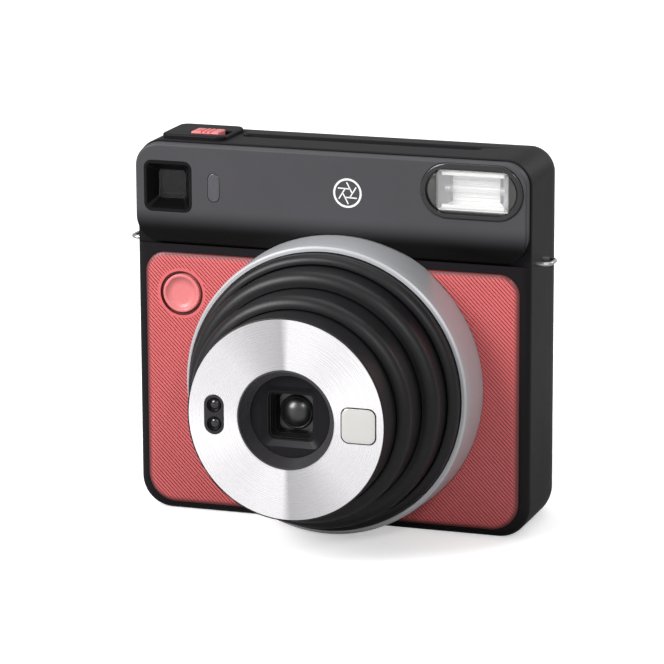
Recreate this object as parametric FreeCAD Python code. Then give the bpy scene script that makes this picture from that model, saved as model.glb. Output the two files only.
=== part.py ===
"""Square-format instant camera with a three-tier telescoping lens, as separate pieces.

Millimetres, +Z up, the front faces -Y and +X is to the right of someone facing the camera.
The origin is the mouth of the tripod socket in the middle of the base.
Depths are counted back from the front face; pieces in front of it have negative depths.
The lens stands extended, which is the rest pose.
"""
import FreeCAD
import Part
import math
import os

V = FreeCAD.Vector

# ---- body ----
BODY_W = 128.1            # width of the case
BODY_H = 118.7            # height of the case
BODY_D = 42.6             # front face to back
SOCKET_DEPTH = 9.3        # depth of the tripod socket's axis
WALL = 2.4                # case wall
SEAM = 17.0               # depth where the front shell meets the rear cover
TOP_R = 8.0               # corner radii of the case, seen from the front
BASE_R = 10.0
FRONT_R = 2.6             # rounding of the front shell's lower front edge
SIDE_ROLL_W = 14.0        # the sides roll in to the back by this much
SIDE_ROLL_D = 18.6        # and over this depth
TOP_ROLL_H = 8.0          # the top falls to the back by this much
TOP_ROLL_D = 22.0         # over this depth
BASE_ROLL = 3.0           # rounding of the bottom back edge
FIT = 0.3                 # clearance round pieces that move
SEAT = 0.1                # clearance round pieces that stay

# ---- fascia ----
FASCIA_H = 32.7           # from the top of the case to the fascia's lower edge
FASCIA_BACK = 1.5         # depth of the face it sits on
FASCIA_PROUD = 2.0        # how far it stands in front of the face
FASCIA_EDGE = 0.6         # inset from the case's outline
FASCIA_ROLL = 9.0         # height of the rolled lower edge

# ---- lens ----
LENS_X = 3.4
RING_R = 46.3             # bezel ring, at its base
RING_LIP_R = 45.4
RING_IN_R = 43.9
RING_PROUD = 15.5
LINER_PROUD = 20.0
THROAT_R = 40.9           # liner's throat round the rear barrel
TIER_R = (40.4, 35.4, 31.3)          # outer radii: rear, middle, front barrel
TIER_FRONT = (-29.5, -41.1, -51.7)   # depths of their front ends
TIER_REAR = (-13.5, -24.1, -34.0)    # depths of their rear ends
TIER_LIP = 1.3            # the retaining lip at each barrel's rear end
TIER_WALL = 1.5
TUBE_R = 42.0             # bore of the fixed guide tube
TUBE_WALL = 0.7
PLATE_T = 1.0             # face plate
HOOD_R = 15.25
HOOD_THROAT = 12.6
HOOD_D = 4.4
BAFFLE_OPEN = 14.5        # square baffle, front and rear opening
BAFFLE_END = 11.0
BAFFLE_D = 5.6
HOOD_PROUD = 0.4          # hood's lip in front of the face plate
HOOD_LAND = 1.2           # straight length behind the hood's cone
ELEMENT_R = 7.5           # front and rear lens elements
ELEMENT_T = 1.4
DOME_R = 5.0
DOME_H = 2.6
SHUTTER_T = 4.0
SHUTTER_R = 4.0           # opening of the shutter
TIER_GAP = 0.35           # clearance round the next tier in each barrel's mouth
LIP_GAP = 0.4             # clearance between a retaining lip and the barrel round it
TIER_ROUND = 3.2          # rounded front edge of the two larger tiers
RECESS = 0.4              # rim of the front barrel round the face plate
SENSOR_GAP = 4.35         # from the hood to the sensor window
SENSOR_W = 6.2
SENSOR_H = 12.2
MIRROR_GAP = 2.25         # from the hood to the mirror
MIRROR_W = 11.0
MIRROR_R = 2.5
MIRROR_PROUD = 0.3

# ---- grips and shutter button ----
GRIP_TOP = 83.4
GRIP_BASE = 2.5
GRIP_EDGE = 3.1           # inset from the case's sides
GRIP_T = 1.6
GRIP_SINK = 1.2
GRIP_LOW_R = 9.0
GRIP_HIGH_R = 6.5
BUTTON_EDGE = 15.15       # button axis from the case's left side
BUTTON_Z = 70.6
BUTTON_R = 6.1
BUTTON_GROOVE = 1.0
BUTTON_PROUD = 0.8        # in front of the grip
BUTTON_FLANGE = 1.2
COIL_R = 3.2              # shutter spring
COIL_WIRE = 0.25
COIL_TURNS = 3
BOARD = 8.0               # depth of the main board's front face
BOARD_W = 18.0
BOARD_T = 1.2

# ---- flash, viewfinder and lamp, measured from the case's sides and top ----
FLASH_EDGE = 1.7
FLASH_TOP = 1.3
FLASH_W = 32.4
FLASH_H = 17.2
LAMP_W = 23.2
LAMP_H = 13.0
FINDER_EDGE = 3.6
FINDER_TOP = 6.0
FINDER_W = 15.7
FINDER_H = 16.0
FINDER_R = 2.5
FINDER_EYE = 9.0
FINDER_GLASS = 2.0        # depth of the viewfinder's front lens
FINDER_PANE = 12.0
FINDER_PANE_T = 1.5
FINDER_TUNNEL = 11.0
FINDER_BACK = 38.0        # depth of the tunnel's rear end
EYEPIECE_W = 12.0
EYEPIECE_PROUD = 0.8
PILL_EDGE = 24.7
PILL_TOP = 9.2
PILL_W = 3.9
PILL_H = 8.9

# ---- film path ----
FILM_DEPTH = 16.0         # depth of the film plane
CHAMBER_W = 83.6
CHAMBER_H = 94.6
CHAMBER_BASE = 5.2
CHAMBER_BACK = 37.6
CHAMBER_WALL = 1.6
GATE = 63.0               # side of the square film gate
BOX_HALF = 36.5           # half the side of the light box in front of the gate
SLOT_X = 5.0
SLOT_W = 77.8
SLOT_OPEN = 4.7
SLOT_THROAT = 2.2
ROLLER_R = 4.0
ROLLER_RISE = 6.7         # roller axes above the film chamber
ROLLER_GAP = 0.2
SHAFT_R = 1.5
GEAR_TEETH = 12
PINION_TEETH = 8
GEAR_W = 3.0
MOTOR_GAP = 0.8
MOTOR_R = 5.6
CAPACITOR_R = 6.0

# ---- back ----
DOOR_LEFT = -42.5
DOOR_RIGHT = 50.0
DOOR_BASE = 3.6
DOOR_TOP = 101.5
DOOR_T = 2.2
HINGE_R = 2.0
PIN_R = 0.8
KEY_R = 2.8
KEY_PITCH = 12.0
KEY_TOP = 12.4
KEY_LEFT = -28.0
KEY_PROUD = 0.6
MODE_X = 27.0             # mode window
MODE_W = 34.0
MODE_H = 4.4
VIEW_X = -12.0            # film window in the door
VIEW_Z = 56.0
VIEW_W = 9.0
VIEW_H = 30.0
VIEW_R = 3.0
LEAF_X = 26.0             # pack springs, from the lens axis
LEAF_W = 8.0
LEAF_L = 36.0
LEAF_T = 0.5
LATCH_GAP = 1.6           # from the door to the latch
LATCH_W = 4.0
LATCH_H = 12.0
LATCH_Z = 52.0
LATCH_PROUD = 0.8
LATCH_TRAVEL = 3.0
BATTERY_R = 7.8
BATTERY_L = 27.0
BATTERY_EDGE = 14.85      # battery axis from the case's left side
BATTERY_DEPTH = 27.5
BATTERY_BASE = 12.0
HATCH_FRONT = 20.5        # battery door, depths of its hinge axis and free edge
HATCH_REAR = 36.5
HATCH_T = 2.0
HATCH_R = 1.5

# ---- top ----
SWITCH_EDGE = 6.6         # raised plate, from the case's left side
SWITCH_W = 21.3
SWITCH_D = 19.6
SWITCH_FRONT = 4.6
SWITCH_PROUD = 1.3
SWITCH_SINK = 1.3
KNOB_X = 9.0              # from the plate's left side
KNOB_FRONT = 3.4          # from the plate's front side
KNOB_W = 9.0
KNOB_D = 6.5
KNOB_STROKE = 2.4

# ---- fastenings ----
LUG_Z = 86.0
LUG_DEPTH = 10.6
LUG_SPAN = 8.0
LUG_WIRE = 0.65
LUG_OUT = 5.0
SOCKET_R = 3.175
SOCKET_L = 6.0
SCREW_EDGE = 7.55
SCREW_LOW = 7.5
SCREW_HIGH = 88.0
SCREW_R = 1.0
SCREW_HEAD_R = 1.9
SCREW_HEAD_T = 1.4
SCREW_HEAD = 26.0         # depth of the seat under the heads
SCREW_L = 14.0
BOSS_R = 3.0
SLEEVE = 0.9              # wall of the tripod socket

# ---- worked out ----
HALF = BODY_W / 2
FACE = -SOCKET_DEPTH
LENS_Z = RING_R + SEAT
FASCIA_Z = BODY_H - FASCIA_H
BUTTON_X = BUTTON_EDGE - HALF
FLASH_X = HALF - FLASH_EDGE - FLASH_W / 2
FLASH_Z = BODY_H - FLASH_TOP - FLASH_H / 2
FINDER_X = FINDER_EDGE + FINDER_W / 2 - HALF
FINDER_Z = BODY_H - FINDER_TOP - FINDER_H / 2
PILL_X = PILL_EDGE + PILL_W / 2 - HALF
PILL_Z = BODY_H - PILL_TOP - PILL_H / 2
FLOOR = FASCIA_BACK + WALL        # depth of the inner face behind the fascia
CHAMBER_TOP = CHAMBER_BASE + CHAMBER_H
ROLLER_Z = CHAMBER_TOP + ROLLER_RISE
ROLLER_OFF = ROLLER_R + ROLLER_GAP / 2
GEAR_M = 2 * ROLLER_OFF / GEAR_TEETH
GEAR_X = LENS_X + CHAMBER_W / 2 + CHAMBER_WALL
PINION_Z = ROLLER_Z - GEAR_M * (GEAR_TEETH + PINION_TEETH) / 2
KEY_Z = BODY_H - KEY_TOP
BATTERY_X = BATTERY_EDGE - HALF
SWITCH_X = SWITCH_EDGE - HALF
SWITCH_TOP = BODY_H + SWITCH_PROUD
SWITCH_FLOOR = BODY_H - SWITCH_SINK
BACK = BODY_D - WALL
SENSOR_X = -(HOOD_R + SENSOR_GAP + SENSOR_W / 2)
MIRROR_X = HOOD_R + MIRROR_GAP + MIRROR_W / 2
BAFFLE_FRONT = TIER_FRONT[2] - HOOD_PROUD + HOOD_D + HOOD_LAND
ELEMENT_FRONT = BAFFLE_FRONT + BAFFLE_D
SHUTTER_FRONT = ELEMENT_FRONT + ELEMENT_T
MOTOR_X = GEAR_X + GEAR_W + MOTOR_GAP
FILM_VIEW = (VIEW_X, VIEW_Z)
KEY_XS = [KEY_LEFT + i * KEY_PITCH for i in range(3)]
WINDOW_PLACE = (MODE_X, KEY_Z)
LATCH_X = DOOR_LEFT - LATCH_GAP - LATCH_W / 2


# ---- helpers ----
def box(x0, x1, d0, d1, z0, z1):
    """A box between two X, two depths and two heights."""
    return Part.makeBox(x1 - x0, d1 - d0, z1 - z0, V(x0, FACE + d0, z0))


def rod_x(r, x0, x1, d, z):
    return Part.makeCylinder(r, x1 - x0, V(x0, FACE + d, z), V(1, 0, 0))


def rod_y(r, d0, d1, x, z):
    return Part.makeCylinder(r, d1 - d0, V(x, FACE + d0, z), V(0, 1, 0))


def rod_z(r, z0, z1, x, d):
    return Part.makeCylinder(r, z1 - z0, V(x, FACE + d, z0), V(0, 0, 1))


def outline(x0, x1, z0, z1, d, low_r, high_r):
    """Closed wire of a rectangle at depth d, with rounded lower and upper corners."""
    y = FACE + d
    s = math.sqrt(0.5)
    corners = ((x1, z0, -1, 1, low_r), (x1, z1, -1, -1, high_r),
               (x0, z1, 1, -1, high_r), (x0, z0, 1, 1, low_r))
    edges = []
    ends = []
    for x, z, sx, sz, r in corners:
        along_x = V(x + sx * r, y, z)
        along_z = V(x, y, z + sz * r)
        middle = V(x + sx * r * (1 - s), y, z + sz * r * (1 - s))
        first, last = (along_x, along_z) if sx * sz < 0 else (along_z, along_x)
        ends.append((first, middle, last))
    for i, (first, middle, last) in enumerate(ends):
        edges.append(Part.Arc(first, middle, last).toShape())
        following = ends[(i + 1) % 4][0]
        if last.distanceToPoint(following) > 1e-6:
            edges.append(Part.LineSegment(last, following).toShape())
    return Part.Wire(edges)


def plate(x0, x1, z0, z1, d0, d1, low_r, high_r=None):
    """A flat plate between two depths with rounded corners."""
    wire = outline(x0, x1, z0, z1, d0, low_r, low_r if high_r is None else high_r)
    return Part.Face(wire).extrude(V(0, d1 - d0, 0))


def centred(x, z, w, h, d0, d1, r):
    """A rounded plate given by its centre and size."""
    return plate(x - w / 2, x + w / 2, z - h / 2, z + h / 2, d0, d1, r)


def tapered(x, z, front, rear, d0, d1, r):
    """A square column that narrows from front to rear."""
    wires = [outline(x - w / 2, x + w / 2, z - w / 2, z + w / 2, d, r, r)
             for w, d in ((front, d0), (rear, d1))]
    return Part.makeLoft(wires, True)


def turned(points, x=LENS_X, z=LENS_Z):
    """Turn (radius, depth) points about an axis along Y."""
    corners = [V(x + r, FACE + d, z) for r, d in points]
    face = Part.Face(Part.makePolygon(corners + corners[:1]))
    return face.revolve(V(x, 0, z), V(0, 1, 0), 360)


def rounded(shape, r, chosen):
    """Round the edges that the test picks."""
    return shape.makeFillet(r, [e for e in shape.Edges if chosen(e)])


def rim(radius, depth):
    """Test for a circular edge of this radius at this depth."""
    def chosen(edge):
        circle = isinstance(edge.Curve, Part.Circle)
        at_depth = abs(edge.BoundBox.YMin - FACE - depth) < 1e-3 and edge.BoundBox.YLength < 1e-3
        return circle and at_depth and abs(edge.Curve.Radius - radius) < 1e-3
    return chosen


def edges_at(depth):
    """Test for edges that lie in the plane at this depth."""
    def chosen(edge):
        return edge.BoundBox.YLength < 1e-3 and abs(edge.BoundBox.YMin - FACE - depth) < 1e-3
    return chosen


def joined(first, *others):
    return first.fuse(list(others)).removeSplitter()


def gear(teeth, x0, x1, d, z, turn):
    """Spur gear about an X axis; a tooth points along +Y when turn is 0."""
    pitch_r = GEAR_M * teeth / 2
    step = 2 * math.pi / teeth
    profile = ((-0.27, -1.15), (-0.14, 0.85), (0.14, 0.85), (0.27, -1.15))
    points = []
    for i in range(teeth):
        for share, height in profile:
            angle = turn + (i + share) * step
            r = pitch_r + height * GEAR_M
            points.append(V(x0, FACE + d + r * math.cos(angle), z + r * math.sin(angle)))
    return Part.Face(Part.makePolygon(points + points[:1])).extrude(V(x1 - x0, 0, 0))


# ---- case ----
def envelope(inset):
    """The closed case, smaller all round by the inset: three outlines crossed."""
    half = HALF - inset
    top = BODY_H - inset
    back = BODY_D - inset
    front = plate(-half, half, inset, top, inset, back, BASE_R - inset, TOP_R - inset)
    return front.common(plan_column(half, back, inset)).common(side_column(top, back, inset))


def plan_column(half, back, inset):
    """Outline seen from above: straight sides that roll in to the back."""
    a = SIDE_ROLL_W
    b = SIDE_ROLL_D
    y0 = FACE + inset
    y1 = FACE + back - b
    y2 = FACE + back
    z = -1.0
    edges = [Part.LineSegment(V(-half, y0, z), V(half, y0, z)).toShape()]
    edges.append(Part.LineSegment(V(half, y0, z), V(half, y1, z)).toShape())
    edges.append(roll(V(half - a, y1, z), V(0, b, 0), V(a, 0, 0)))
    edges.append(Part.LineSegment(V(half - a, y2, z), V(a - half, y2, z)).toShape())
    edges.append(roll(V(a - half, y1, z), V(0, b, 0), V(-a, 0, 0)))
    edges.append(Part.LineSegment(V(-half, y1, z), V(-half, y0, z)).toShape())
    return Part.Face(Part.Wire(Part.__sortEdges__(edges))).extrude(V(0, 0, BODY_H + 2))


def roll(centre, major, minor):
    """Quarter of an ellipse from centre + minor to centre + major."""
    curve = Part.Ellipse(centre + major, centre + minor, centre)
    start = curve.parameter(centre + minor)
    end = curve.parameter(centre + major)
    if end < start:
        end += 2 * math.pi
    if end - start > math.pi:
        start, end = end, start + 2 * math.pi
    return curve.toShape(start, end)


def side_column(top, back, inset):
    """Outline seen from the side: the top falls to the back, and the heel is rounded."""
    x = -BODY_W
    y0 = FACE + inset
    y1 = FACE + back
    deep = TOP_ROLL_D - inset
    high = TOP_ROLL_H - inset
    base_r = max(BASE_ROLL - inset, 0.5)
    s = 1 - math.sqrt(0.5)
    points = [V(x, y1 - deep, top), V(x, y0, top), V(x, y0, inset), V(x, y1 - base_r, inset)]
    edges = [Part.LineSegment(a, b).toShape() for a, b in zip(points, points[1:])]
    bend = V(x, y1 - base_r * s, inset + base_r * s)
    heel = V(x, y1, inset + base_r)
    edges.append(Part.Arc(points[-1], bend, heel).toShape())
    edges.append(Part.LineSegment(heel, V(x, y1, top - high)).toShape())
    edges.append(roll(V(x, y1 - deep, top - high), V(0, deep, 0), V(0, 0, high)))
    return Part.Face(Part.Wire(Part.__sortEdges__(edges))).extrude(V(2 * BODY_W, 0, 0))


def hollow_case():
    """The case as a skin, with a thicker step behind the fascia."""
    inside = envelope(WALL)
    inside = inside.cut(box(-HALF, HALF, 0, FLOOR, FASCIA_Z - WALL, BODY_H))
    return rounded(envelope(0), FRONT_R, edges_at(0)).cut(inside)


def grip_outline(side, grow, d0, d1):
    """Grip panel on one side of the lens, cut away round the bezel ring."""
    edge = HALF - GRIP_EDGE + grow
    x0, x1 = (-edge, LENS_X) if side < 0 else (LENS_X, edge)
    whole = plate(-edge, edge, GRIP_BASE - grow, GRIP_TOP + grow, d0, d1,
                  GRIP_LOW_R, GRIP_HIGH_R)
    half = box(x0, x1, d0, d1, 0, BODY_H)
    return whole.common(half).cut(rod_y(RING_R + FIT - grow, d0, d1, LENS_X, LENS_Z))


def switch_block(grow, z0, z1):
    """Block the size of the raised plate on top."""
    block = box(SWITCH_X - grow, SWITCH_X + SWITCH_W + grow, SWITCH_FRONT - grow,
                SWITCH_FRONT + SWITCH_D + grow, z0, z1)
    return rounded(block, 3.0 + grow, lambda e: e.BoundBox.ZLength > (z1 - z0) * 0.9)


def film_slot():
    """Wide groove in the top with a narrow throat under it."""
    groove_base = BODY_H - 1.4
    x0 = SLOT_X - SLOT_W / 2
    x1 = SLOT_X + SLOT_W / 2
    groove = box(x0, x1, FILM_DEPTH - SLOT_OPEN / 2, FILM_DEPTH + SLOT_OPEN / 2, groove_base, BODY_H + 1)
    groove = rounded(groove, SLOT_OPEN / 2 - 0.05, lambda e: e.BoundBox.ZLength > 1.0)
    half = SLOT_THROAT / 2
    throat = box(x0 + 2, x1 - 2, FILM_DEPTH - half, FILM_DEPTH + half, BODY_H - WALL - 1, BODY_H)
    return groove.fuse(throat)


def lug_holes():
    """Holes in the side walls for the legs of the strap lugs."""
    holes = []
    for sign in (-1, 1):
        for d in (LUG_DEPTH - LUG_SPAN / 2, LUG_DEPTH + LUG_SPAN / 2):
            x0 = min(sign * (HALF - WALL - 1), sign * (HALF + 1))
            holes.append(rod_x(LUG_WIRE + 0.05, x0, x0 + WALL + 2, d, LUG_Z))
    return holes


def screw_places():
    return [(side * (HALF - SCREW_EDGE), z) for side in (-1, 1) for z in (SCREW_LOW, SCREW_HIGH)]


def front_shell():
    shell = hollow_case().common(box(-HALF, HALF, 0, SEAM, 0, BODY_H))
    shell = shell.cut(box(-HALF, HALF, 0, FASCIA_BACK, FASCIA_Z, BODY_H))
    for side in (-1, 1):
        shell = shell.cut(grip_outline(side, SEAT, -1, GRIP_SINK))
    for x, z in screw_places():
        boss = rod_y(BOSS_R, WALL - 0.2, SCREW_HEAD - 2, x, z).common(envelope(1.0))
        shell = shell.fuse(boss).cut(rod_y(SCREW_R, WALL + 2, SCREW_HEAD, x, z))
    cuts = [rod_y(TUBE_R + TUBE_WALL + FIT, -1, FLOOR + 1, LENS_X, LENS_Z),
            rod_y(BUTTON_R + FIT, -1, WALL + 1, BUTTON_X, BUTTON_Z),
            centred(FLASH_X, FLASH_Z, LAMP_W + 1.2, LAMP_H + 1.2, 0, FLOOR + 1, 1.5),
            centred(FINDER_X, FINDER_Z, FINDER_W - 1.5, FINDER_H - 1.5, 0, FLOOR + 1, 1.5),
            switch_block(SEAT, SWITCH_FLOOR, BODY_H + 1),
            rod_z(SOCKET_R + SLEEVE, -1, WALL + 1, 0, SOCKET_DEPTH), film_slot()]
    return shell.cut(cuts + lug_holes())


def upper_fascia():
    half = HALF - FASCIA_EDGE
    top = BODY_H - FASCIA_EDGE
    front = -FASCIA_PROUD
    low = FASCIA_Z + SEAT
    blank = plate(-half, half, low, top, front, FASCIA_BACK, 9.0, TOP_R - FASCIA_EDGE)
    blank = rounded(blank, 0.8, lambda e: edges_at(front)(e) and e.BoundBox.ZMax > low + 9.5)
    y = FACE + front
    depth = FASCIA_PROUD + FASCIA_BACK - 0.4
    curve = roll(V(-half - 1, y + depth, low + FASCIA_ROLL), V(0, 0, -FASCIA_ROLL), V(0, -depth, 0))
    start = V(-half - 1, y, low + FASCIA_ROLL)
    corner = V(-half - 1, y, low)
    end = V(-half - 1, y + depth, low)
    lines = [Part.LineSegment(start, corner).toShape(), Part.LineSegment(corner, end).toShape()]
    waste = Part.Face(Part.Wire(Part.__sortEdges__([curve] + lines))).extrude(V(2 * half + 2, 0, 0))
    deep = (front - 1, FASCIA_BACK + 1)
    cuts = [waste, rod_y(RING_R + FIT, *deep, LENS_X, LENS_Z),
            centred(FLASH_X, FLASH_Z, FLASH_W + 2 * SEAT, FLASH_H + 2 * SEAT, *deep, FLASH_H / 2),
            centred(FINDER_X, FINDER_Z, FINDER_W + 2 * SEAT, FINDER_H + 2 * SEAT, *deep, FINDER_R + SEAT),
            centred(PILL_X, PILL_Z, PILL_W + 2 * SEAT, PILL_H + 2 * SEAT, *deep, PILL_W / 2)]
    return blank.cut(cuts)


def grip_panel(side):
    panel = grip_outline(side, 0, GRIP_SINK - GRIP_T, GRIP_SINK)
    if side < 0:
        panel = panel.cut(rod_y(BUTTON_R + BUTTON_GROOVE, -2, GRIP_SINK + 1, BUTTON_X, BUTTON_Z))
    return panel


def rear_cover():
    cover = hollow_case().common(box(-HALF, HALF, SEAM, BODY_D, 0, BODY_H))
    ledge = box(DOOR_LEFT - 2, DOOR_RIGHT + 2, CHAMBER_BACK + 0.4, BACK, WALL, DOOR_TOP + 0.9)
    cover = cover.fuse(ledge)
    inner = WALL + SEAT
    for x, z in screw_places():
        boss = rod_y(BOSS_R + 0.2, SCREW_HEAD - 2, BACK, x, z).common(envelope(inner / 2))
        cover = cover.fuse(boss)
        cover = cover.cut([rod_y(SCREW_HEAD_R + SEAT, SCREW_HEAD, BODY_D, x, z),
                           rod_y(SCREW_R + SEAT, SCREW_HEAD - 3, SCREW_HEAD, x, z)])
    x0 = LENS_X - CHAMBER_W / 2
    x1 = LENS_X + CHAMBER_W / 2
    recess = box(DOOR_LEFT - FIT, DOOR_RIGHT - HINGE_R, BACK, BODY_D + 1, DOOR_BASE - FIT, DOOR_TOP + FIT)
    knuckle = rod_z(HINGE_R + FIT, DOOR_BASE - FIT, DOOR_TOP + FIT, DOOR_RIGHT - HINGE_R, BODY_D - HINGE_R)
    mouth = box(DOOR_RIGHT - HINGE_R, DOOR_RIGHT + FIT, BODY_D - HINGE_R, BODY_D + 1,
                DOOR_BASE - FIT, DOOR_TOP + FIT)
    cuts = [recess, knuckle, mouth, box(x0, x1, CHAMBER_BACK, BODY_D, CHAMBER_BASE, CHAMBER_TOP),
            rod_z(PIN_R, DOOR_BASE - 2, DOOR_TOP + 4, DOOR_RIGHT - HINGE_R, BODY_D - HINGE_R),
            latch_block(FIT, LATCH_TRAVEL), hatch_opening(), film_slot(),
            switch_block(SEAT, SWITCH_FLOOR, BODY_H + 1),
            centred(FINDER_X, FINDER_Z, EYEPIECE_W + 2 * SEAT, EYEPIECE_W + 2 * SEAT, SEAM, BODY_D + 1, 2.5),
            centred(*WINDOW_PLACE, MODE_W + 2 * SEAT, MODE_H + 2 * SEAT, BACK - 1, BODY_D + 1, MODE_H / 2)]
    cuts += [rod_y(KEY_R + FIT, BACK - 1, BODY_D + 1, x, KEY_Z) for x in KEY_XS]
    return cover.cut(cuts)


# ---- lens ----
def bezel_ring():
    return turned([(RING_IN_R, 0), (RING_IN_R, -RING_PROUD), (RING_LIP_R - 0.6, -RING_PROUD),
                   (RING_LIP_R, -RING_PROUD + 0.5), (RING_LIP_R + 0.3, -RING_PROUD + 3), (RING_R, 0)])


def bezel_liner():
    skirt_r = RING_IN_R - FIT
    inner_r = TUBE_R + TUBE_WALL + 0.2
    step = -LINER_PROUD + 4
    liner = turned([(THROAT_R, -LINER_PROUD), (skirt_r, -LINER_PROUD), (skirt_r, 0),
                    (inner_r, 0), (inner_r, step), (THROAT_R, step)])
    return rounded(liner, 2.3, rim(skirt_r, -LINER_PROUD))


def guide_tube():
    outer_r = TUBE_R + TUBE_WALL
    front = -LINER_PROUD + 4.1
    flange_r = RING_IN_R - 0.1
    rear = WALL + 1.6
    tube = turned([(TUBE_R, front), (outer_r, front), (outer_r, rear), (TUBE_R, rear)])
    flange = turned([(outer_r, WALL), (flange_r, WALL), (flange_r, rear), (outer_r, rear)])
    flange = flange.common(envelope(WALL))
    return joined(tube, flange.cut(box(-HALF, HALF, WALL, rear, FASCIA_Z - WALL - SEAT, BODY_H)))


def barrel(tier, hole_r, lip_r):
    """One telescoping tier: a tube with a front flange and a retaining lip behind."""
    outer_r = TIER_R[tier]
    front = TIER_FRONT[tier]
    rear = TIER_REAR[tier]
    inner_r = outer_r - TIER_WALL
    flange = front + 1.8
    shape = turned([(hole_r, front), (outer_r, front), (outer_r, rear - TIER_LIP), (lip_r, rear - TIER_LIP),
                    (lip_r, rear), (inner_r, rear), (inner_r, flange), (hole_r, flange)])
    return rounded(shape, TIER_ROUND, rim(outer_r, front))


def rear_barrel():
    return barrel(0, TIER_R[1] + TIER_GAP, TUBE_R - FIT)


def middle_barrel():
    return barrel(1, TIER_R[2] + TIER_GAP, TIER_R[0] - TIER_WALL - LIP_GAP)


def sensor_place(d0, d1, w, h):
    return centred(LENS_X + SENSOR_X, LENS_Z, w, h, d0, d1, w / 2)


def mirror_place(d0, d1, w):
    return centred(LENS_X + MIRROR_X, LENS_Z, w, w, d0, d1, MIRROR_R)


def front_barrel():
    outer_r = TIER_R[2]
    front = TIER_FRONT[2]
    rear = TIER_REAR[2]
    inner_r = outer_r - TIER_WALL
    seat = front + PLATE_T
    lip_r = TIER_R[1] - TIER_WALL - LIP_GAP
    recess_r = outer_r - RECESS
    hole_r = HOOD_R + SEAT
    shape = turned([(recess_r, front), (outer_r, front), (outer_r, rear - TIER_LIP), (lip_r, rear - TIER_LIP),
                    (lip_r, rear), (inner_r, rear), (inner_r, seat + 1.6), (hole_r, seat + 1.6),
                    (hole_r, seat), (recess_r, seat)])
    return rounded(shape, 0.35, rim(outer_r, front))


def face_plate():
    front = TIER_FRONT[2]
    outer_r = TIER_R[2] - RECESS - SEAT
    blank = turned([(HOOD_R + SEAT, front), (outer_r, front), (outer_r, front + PLATE_T),
                    (HOOD_R + SEAT, front + PLATE_T)])
    return blank.cut([sensor_place(front - 1, front + 2, SENSOR_W + 2 * SEAT, SENSOR_H + 2 * SEAT),
                      mirror_place(front - 1, front + 2, MIRROR_W + 2 * SEAT)])


def sensor_window():
    return sensor_place(TIER_FRONT[2] + 0.1, TIER_FRONT[2] + PLATE_T, SENSOR_W, SENSOR_H)


def selfie_mirror():
    front = TIER_FRONT[2] - MIRROR_PROUD
    return rounded(mirror_place(front, TIER_FRONT[2] + PLATE_T, MIRROR_W), 0.25, edges_at(front))


def lens_hood():
    front = TIER_FRONT[2] - HOOD_PROUD
    return turned([(HOOD_R - 0.5, front), (HOOD_R, front), (HOOD_R, BAFFLE_FRONT),
                   (HOOD_THROAT, BAFFLE_FRONT), (HOOD_THROAT, front + HOOD_D)])


def lens_baffle():
    block = rod_y(HOOD_R - 0.25, BAFFLE_FRONT, ELEMENT_FRONT, LENS_X, LENS_Z)
    return block.cut(tapered(LENS_X, LENS_Z, BAFFLE_OPEN, BAFFLE_END, BAFFLE_FRONT, ELEMENT_FRONT, 2.0))


def domed_lens(r, dome_r, height, d0, d1):
    """A lens element with a dome in front of its rim."""
    ball_r = (dome_r ** 2 + height ** 2) / (2 * height)
    ball = Part.makeSphere(ball_r, V(LENS_X, FACE + d0 - height + ball_r, LENS_Z))
    cap = ball.common(rod_y(r, d0 - height - 1, d0, LENS_X, LENS_Z))
    return joined(rod_y(r, d0, d1, LENS_X, LENS_Z), cap)


def front_lens():
    return domed_lens(ELEMENT_R, DOME_R, DOME_H, ELEMENT_FRONT, SHUTTER_FRONT)


def shutter_unit():
    rear = SHUTTER_FRONT + SHUTTER_T
    disc = rod_y(TIER_R[2] - TIER_WALL - FIT, SHUTTER_FRONT, rear, LENS_X, LENS_Z)
    return disc.cut(rod_y(SHUTTER_R, SHUTTER_FRONT, rear, LENS_X, LENS_Z))


def rear_lens():
    seat = SHUTTER_FRONT + SHUTTER_T
    return rod_y(ELEMENT_R, seat, seat + 2, LENS_X, LENS_Z)


# ---- shutter button ----
def shutter_button():
    front = GRIP_SINK - GRIP_T - BUTTON_PROUD
    cap = rounded(rod_y(BUTTON_R, front, WALL + 0.1, BUTTON_X, BUTTON_Z), 0.4,
                  lambda e: edges_at(front)(e))
    flange = rod_y(BUTTON_R + BUTTON_FLANGE, WALL + 0.05, WALL + 1.05, BUTTON_X, BUTTON_Z)
    return joined(cap, flange, rod_y(2.0, WALL + 1.05, WALL + 2.6, BUTTON_X, BUTTON_Z))


def shutter_spring():
    front = WALL + 1.15
    length = BOARD - front - 0.6
    coil = Part.makeHelix(length / COIL_TURNS, length, COIL_R)
    ring = Part.Wire(Part.makeCircle(COIL_WIRE, V(COIL_R, 0, 0), V(0, 1, 0)))
    spring = Part.Wire(coil.Edges).makePipeShell([ring], True, True)
    spring.rotate(V(0, 0, 0), V(1, 0, 0), -90)
    spring.translate(V(BUTTON_X, FACE + front + COIL_WIRE, BUTTON_Z))
    return spring


def main_board():
    left = BUTTON_X - BOARD_W / 2
    board = box(left, left + BOARD_W, BOARD, BOARD + BOARD_T, 14, SCREW_HIGH - 4)
    return joined(board, rod_y(2.2, BOARD - 1.8, BOARD, BUTTON_X, BUTTON_Z),
                  box(left + 3, left + 13, BOARD - 2, BOARD, 30, 40))


# ---- flash ----
def flash_bezel():
    front = -FASCIA_PROUD - 0.6
    rimmed = centred(FLASH_X, FLASH_Z, FLASH_W, FLASH_H, front, FASCIA_BACK, FLASH_H / 2)
    rimmed = rounded(rimmed, 0.5, edges_at(front))
    hollow = centred(FLASH_X, FLASH_Z, FLASH_W - 3, FLASH_H - 3, front - 1, front + 1, FLASH_H / 2 - 1.5)
    return rimmed.cut([hollow, centred(FLASH_X, FLASH_Z, LAMP_W, LAMP_H, front, FASCIA_BACK + 1, 1.1)])


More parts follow.
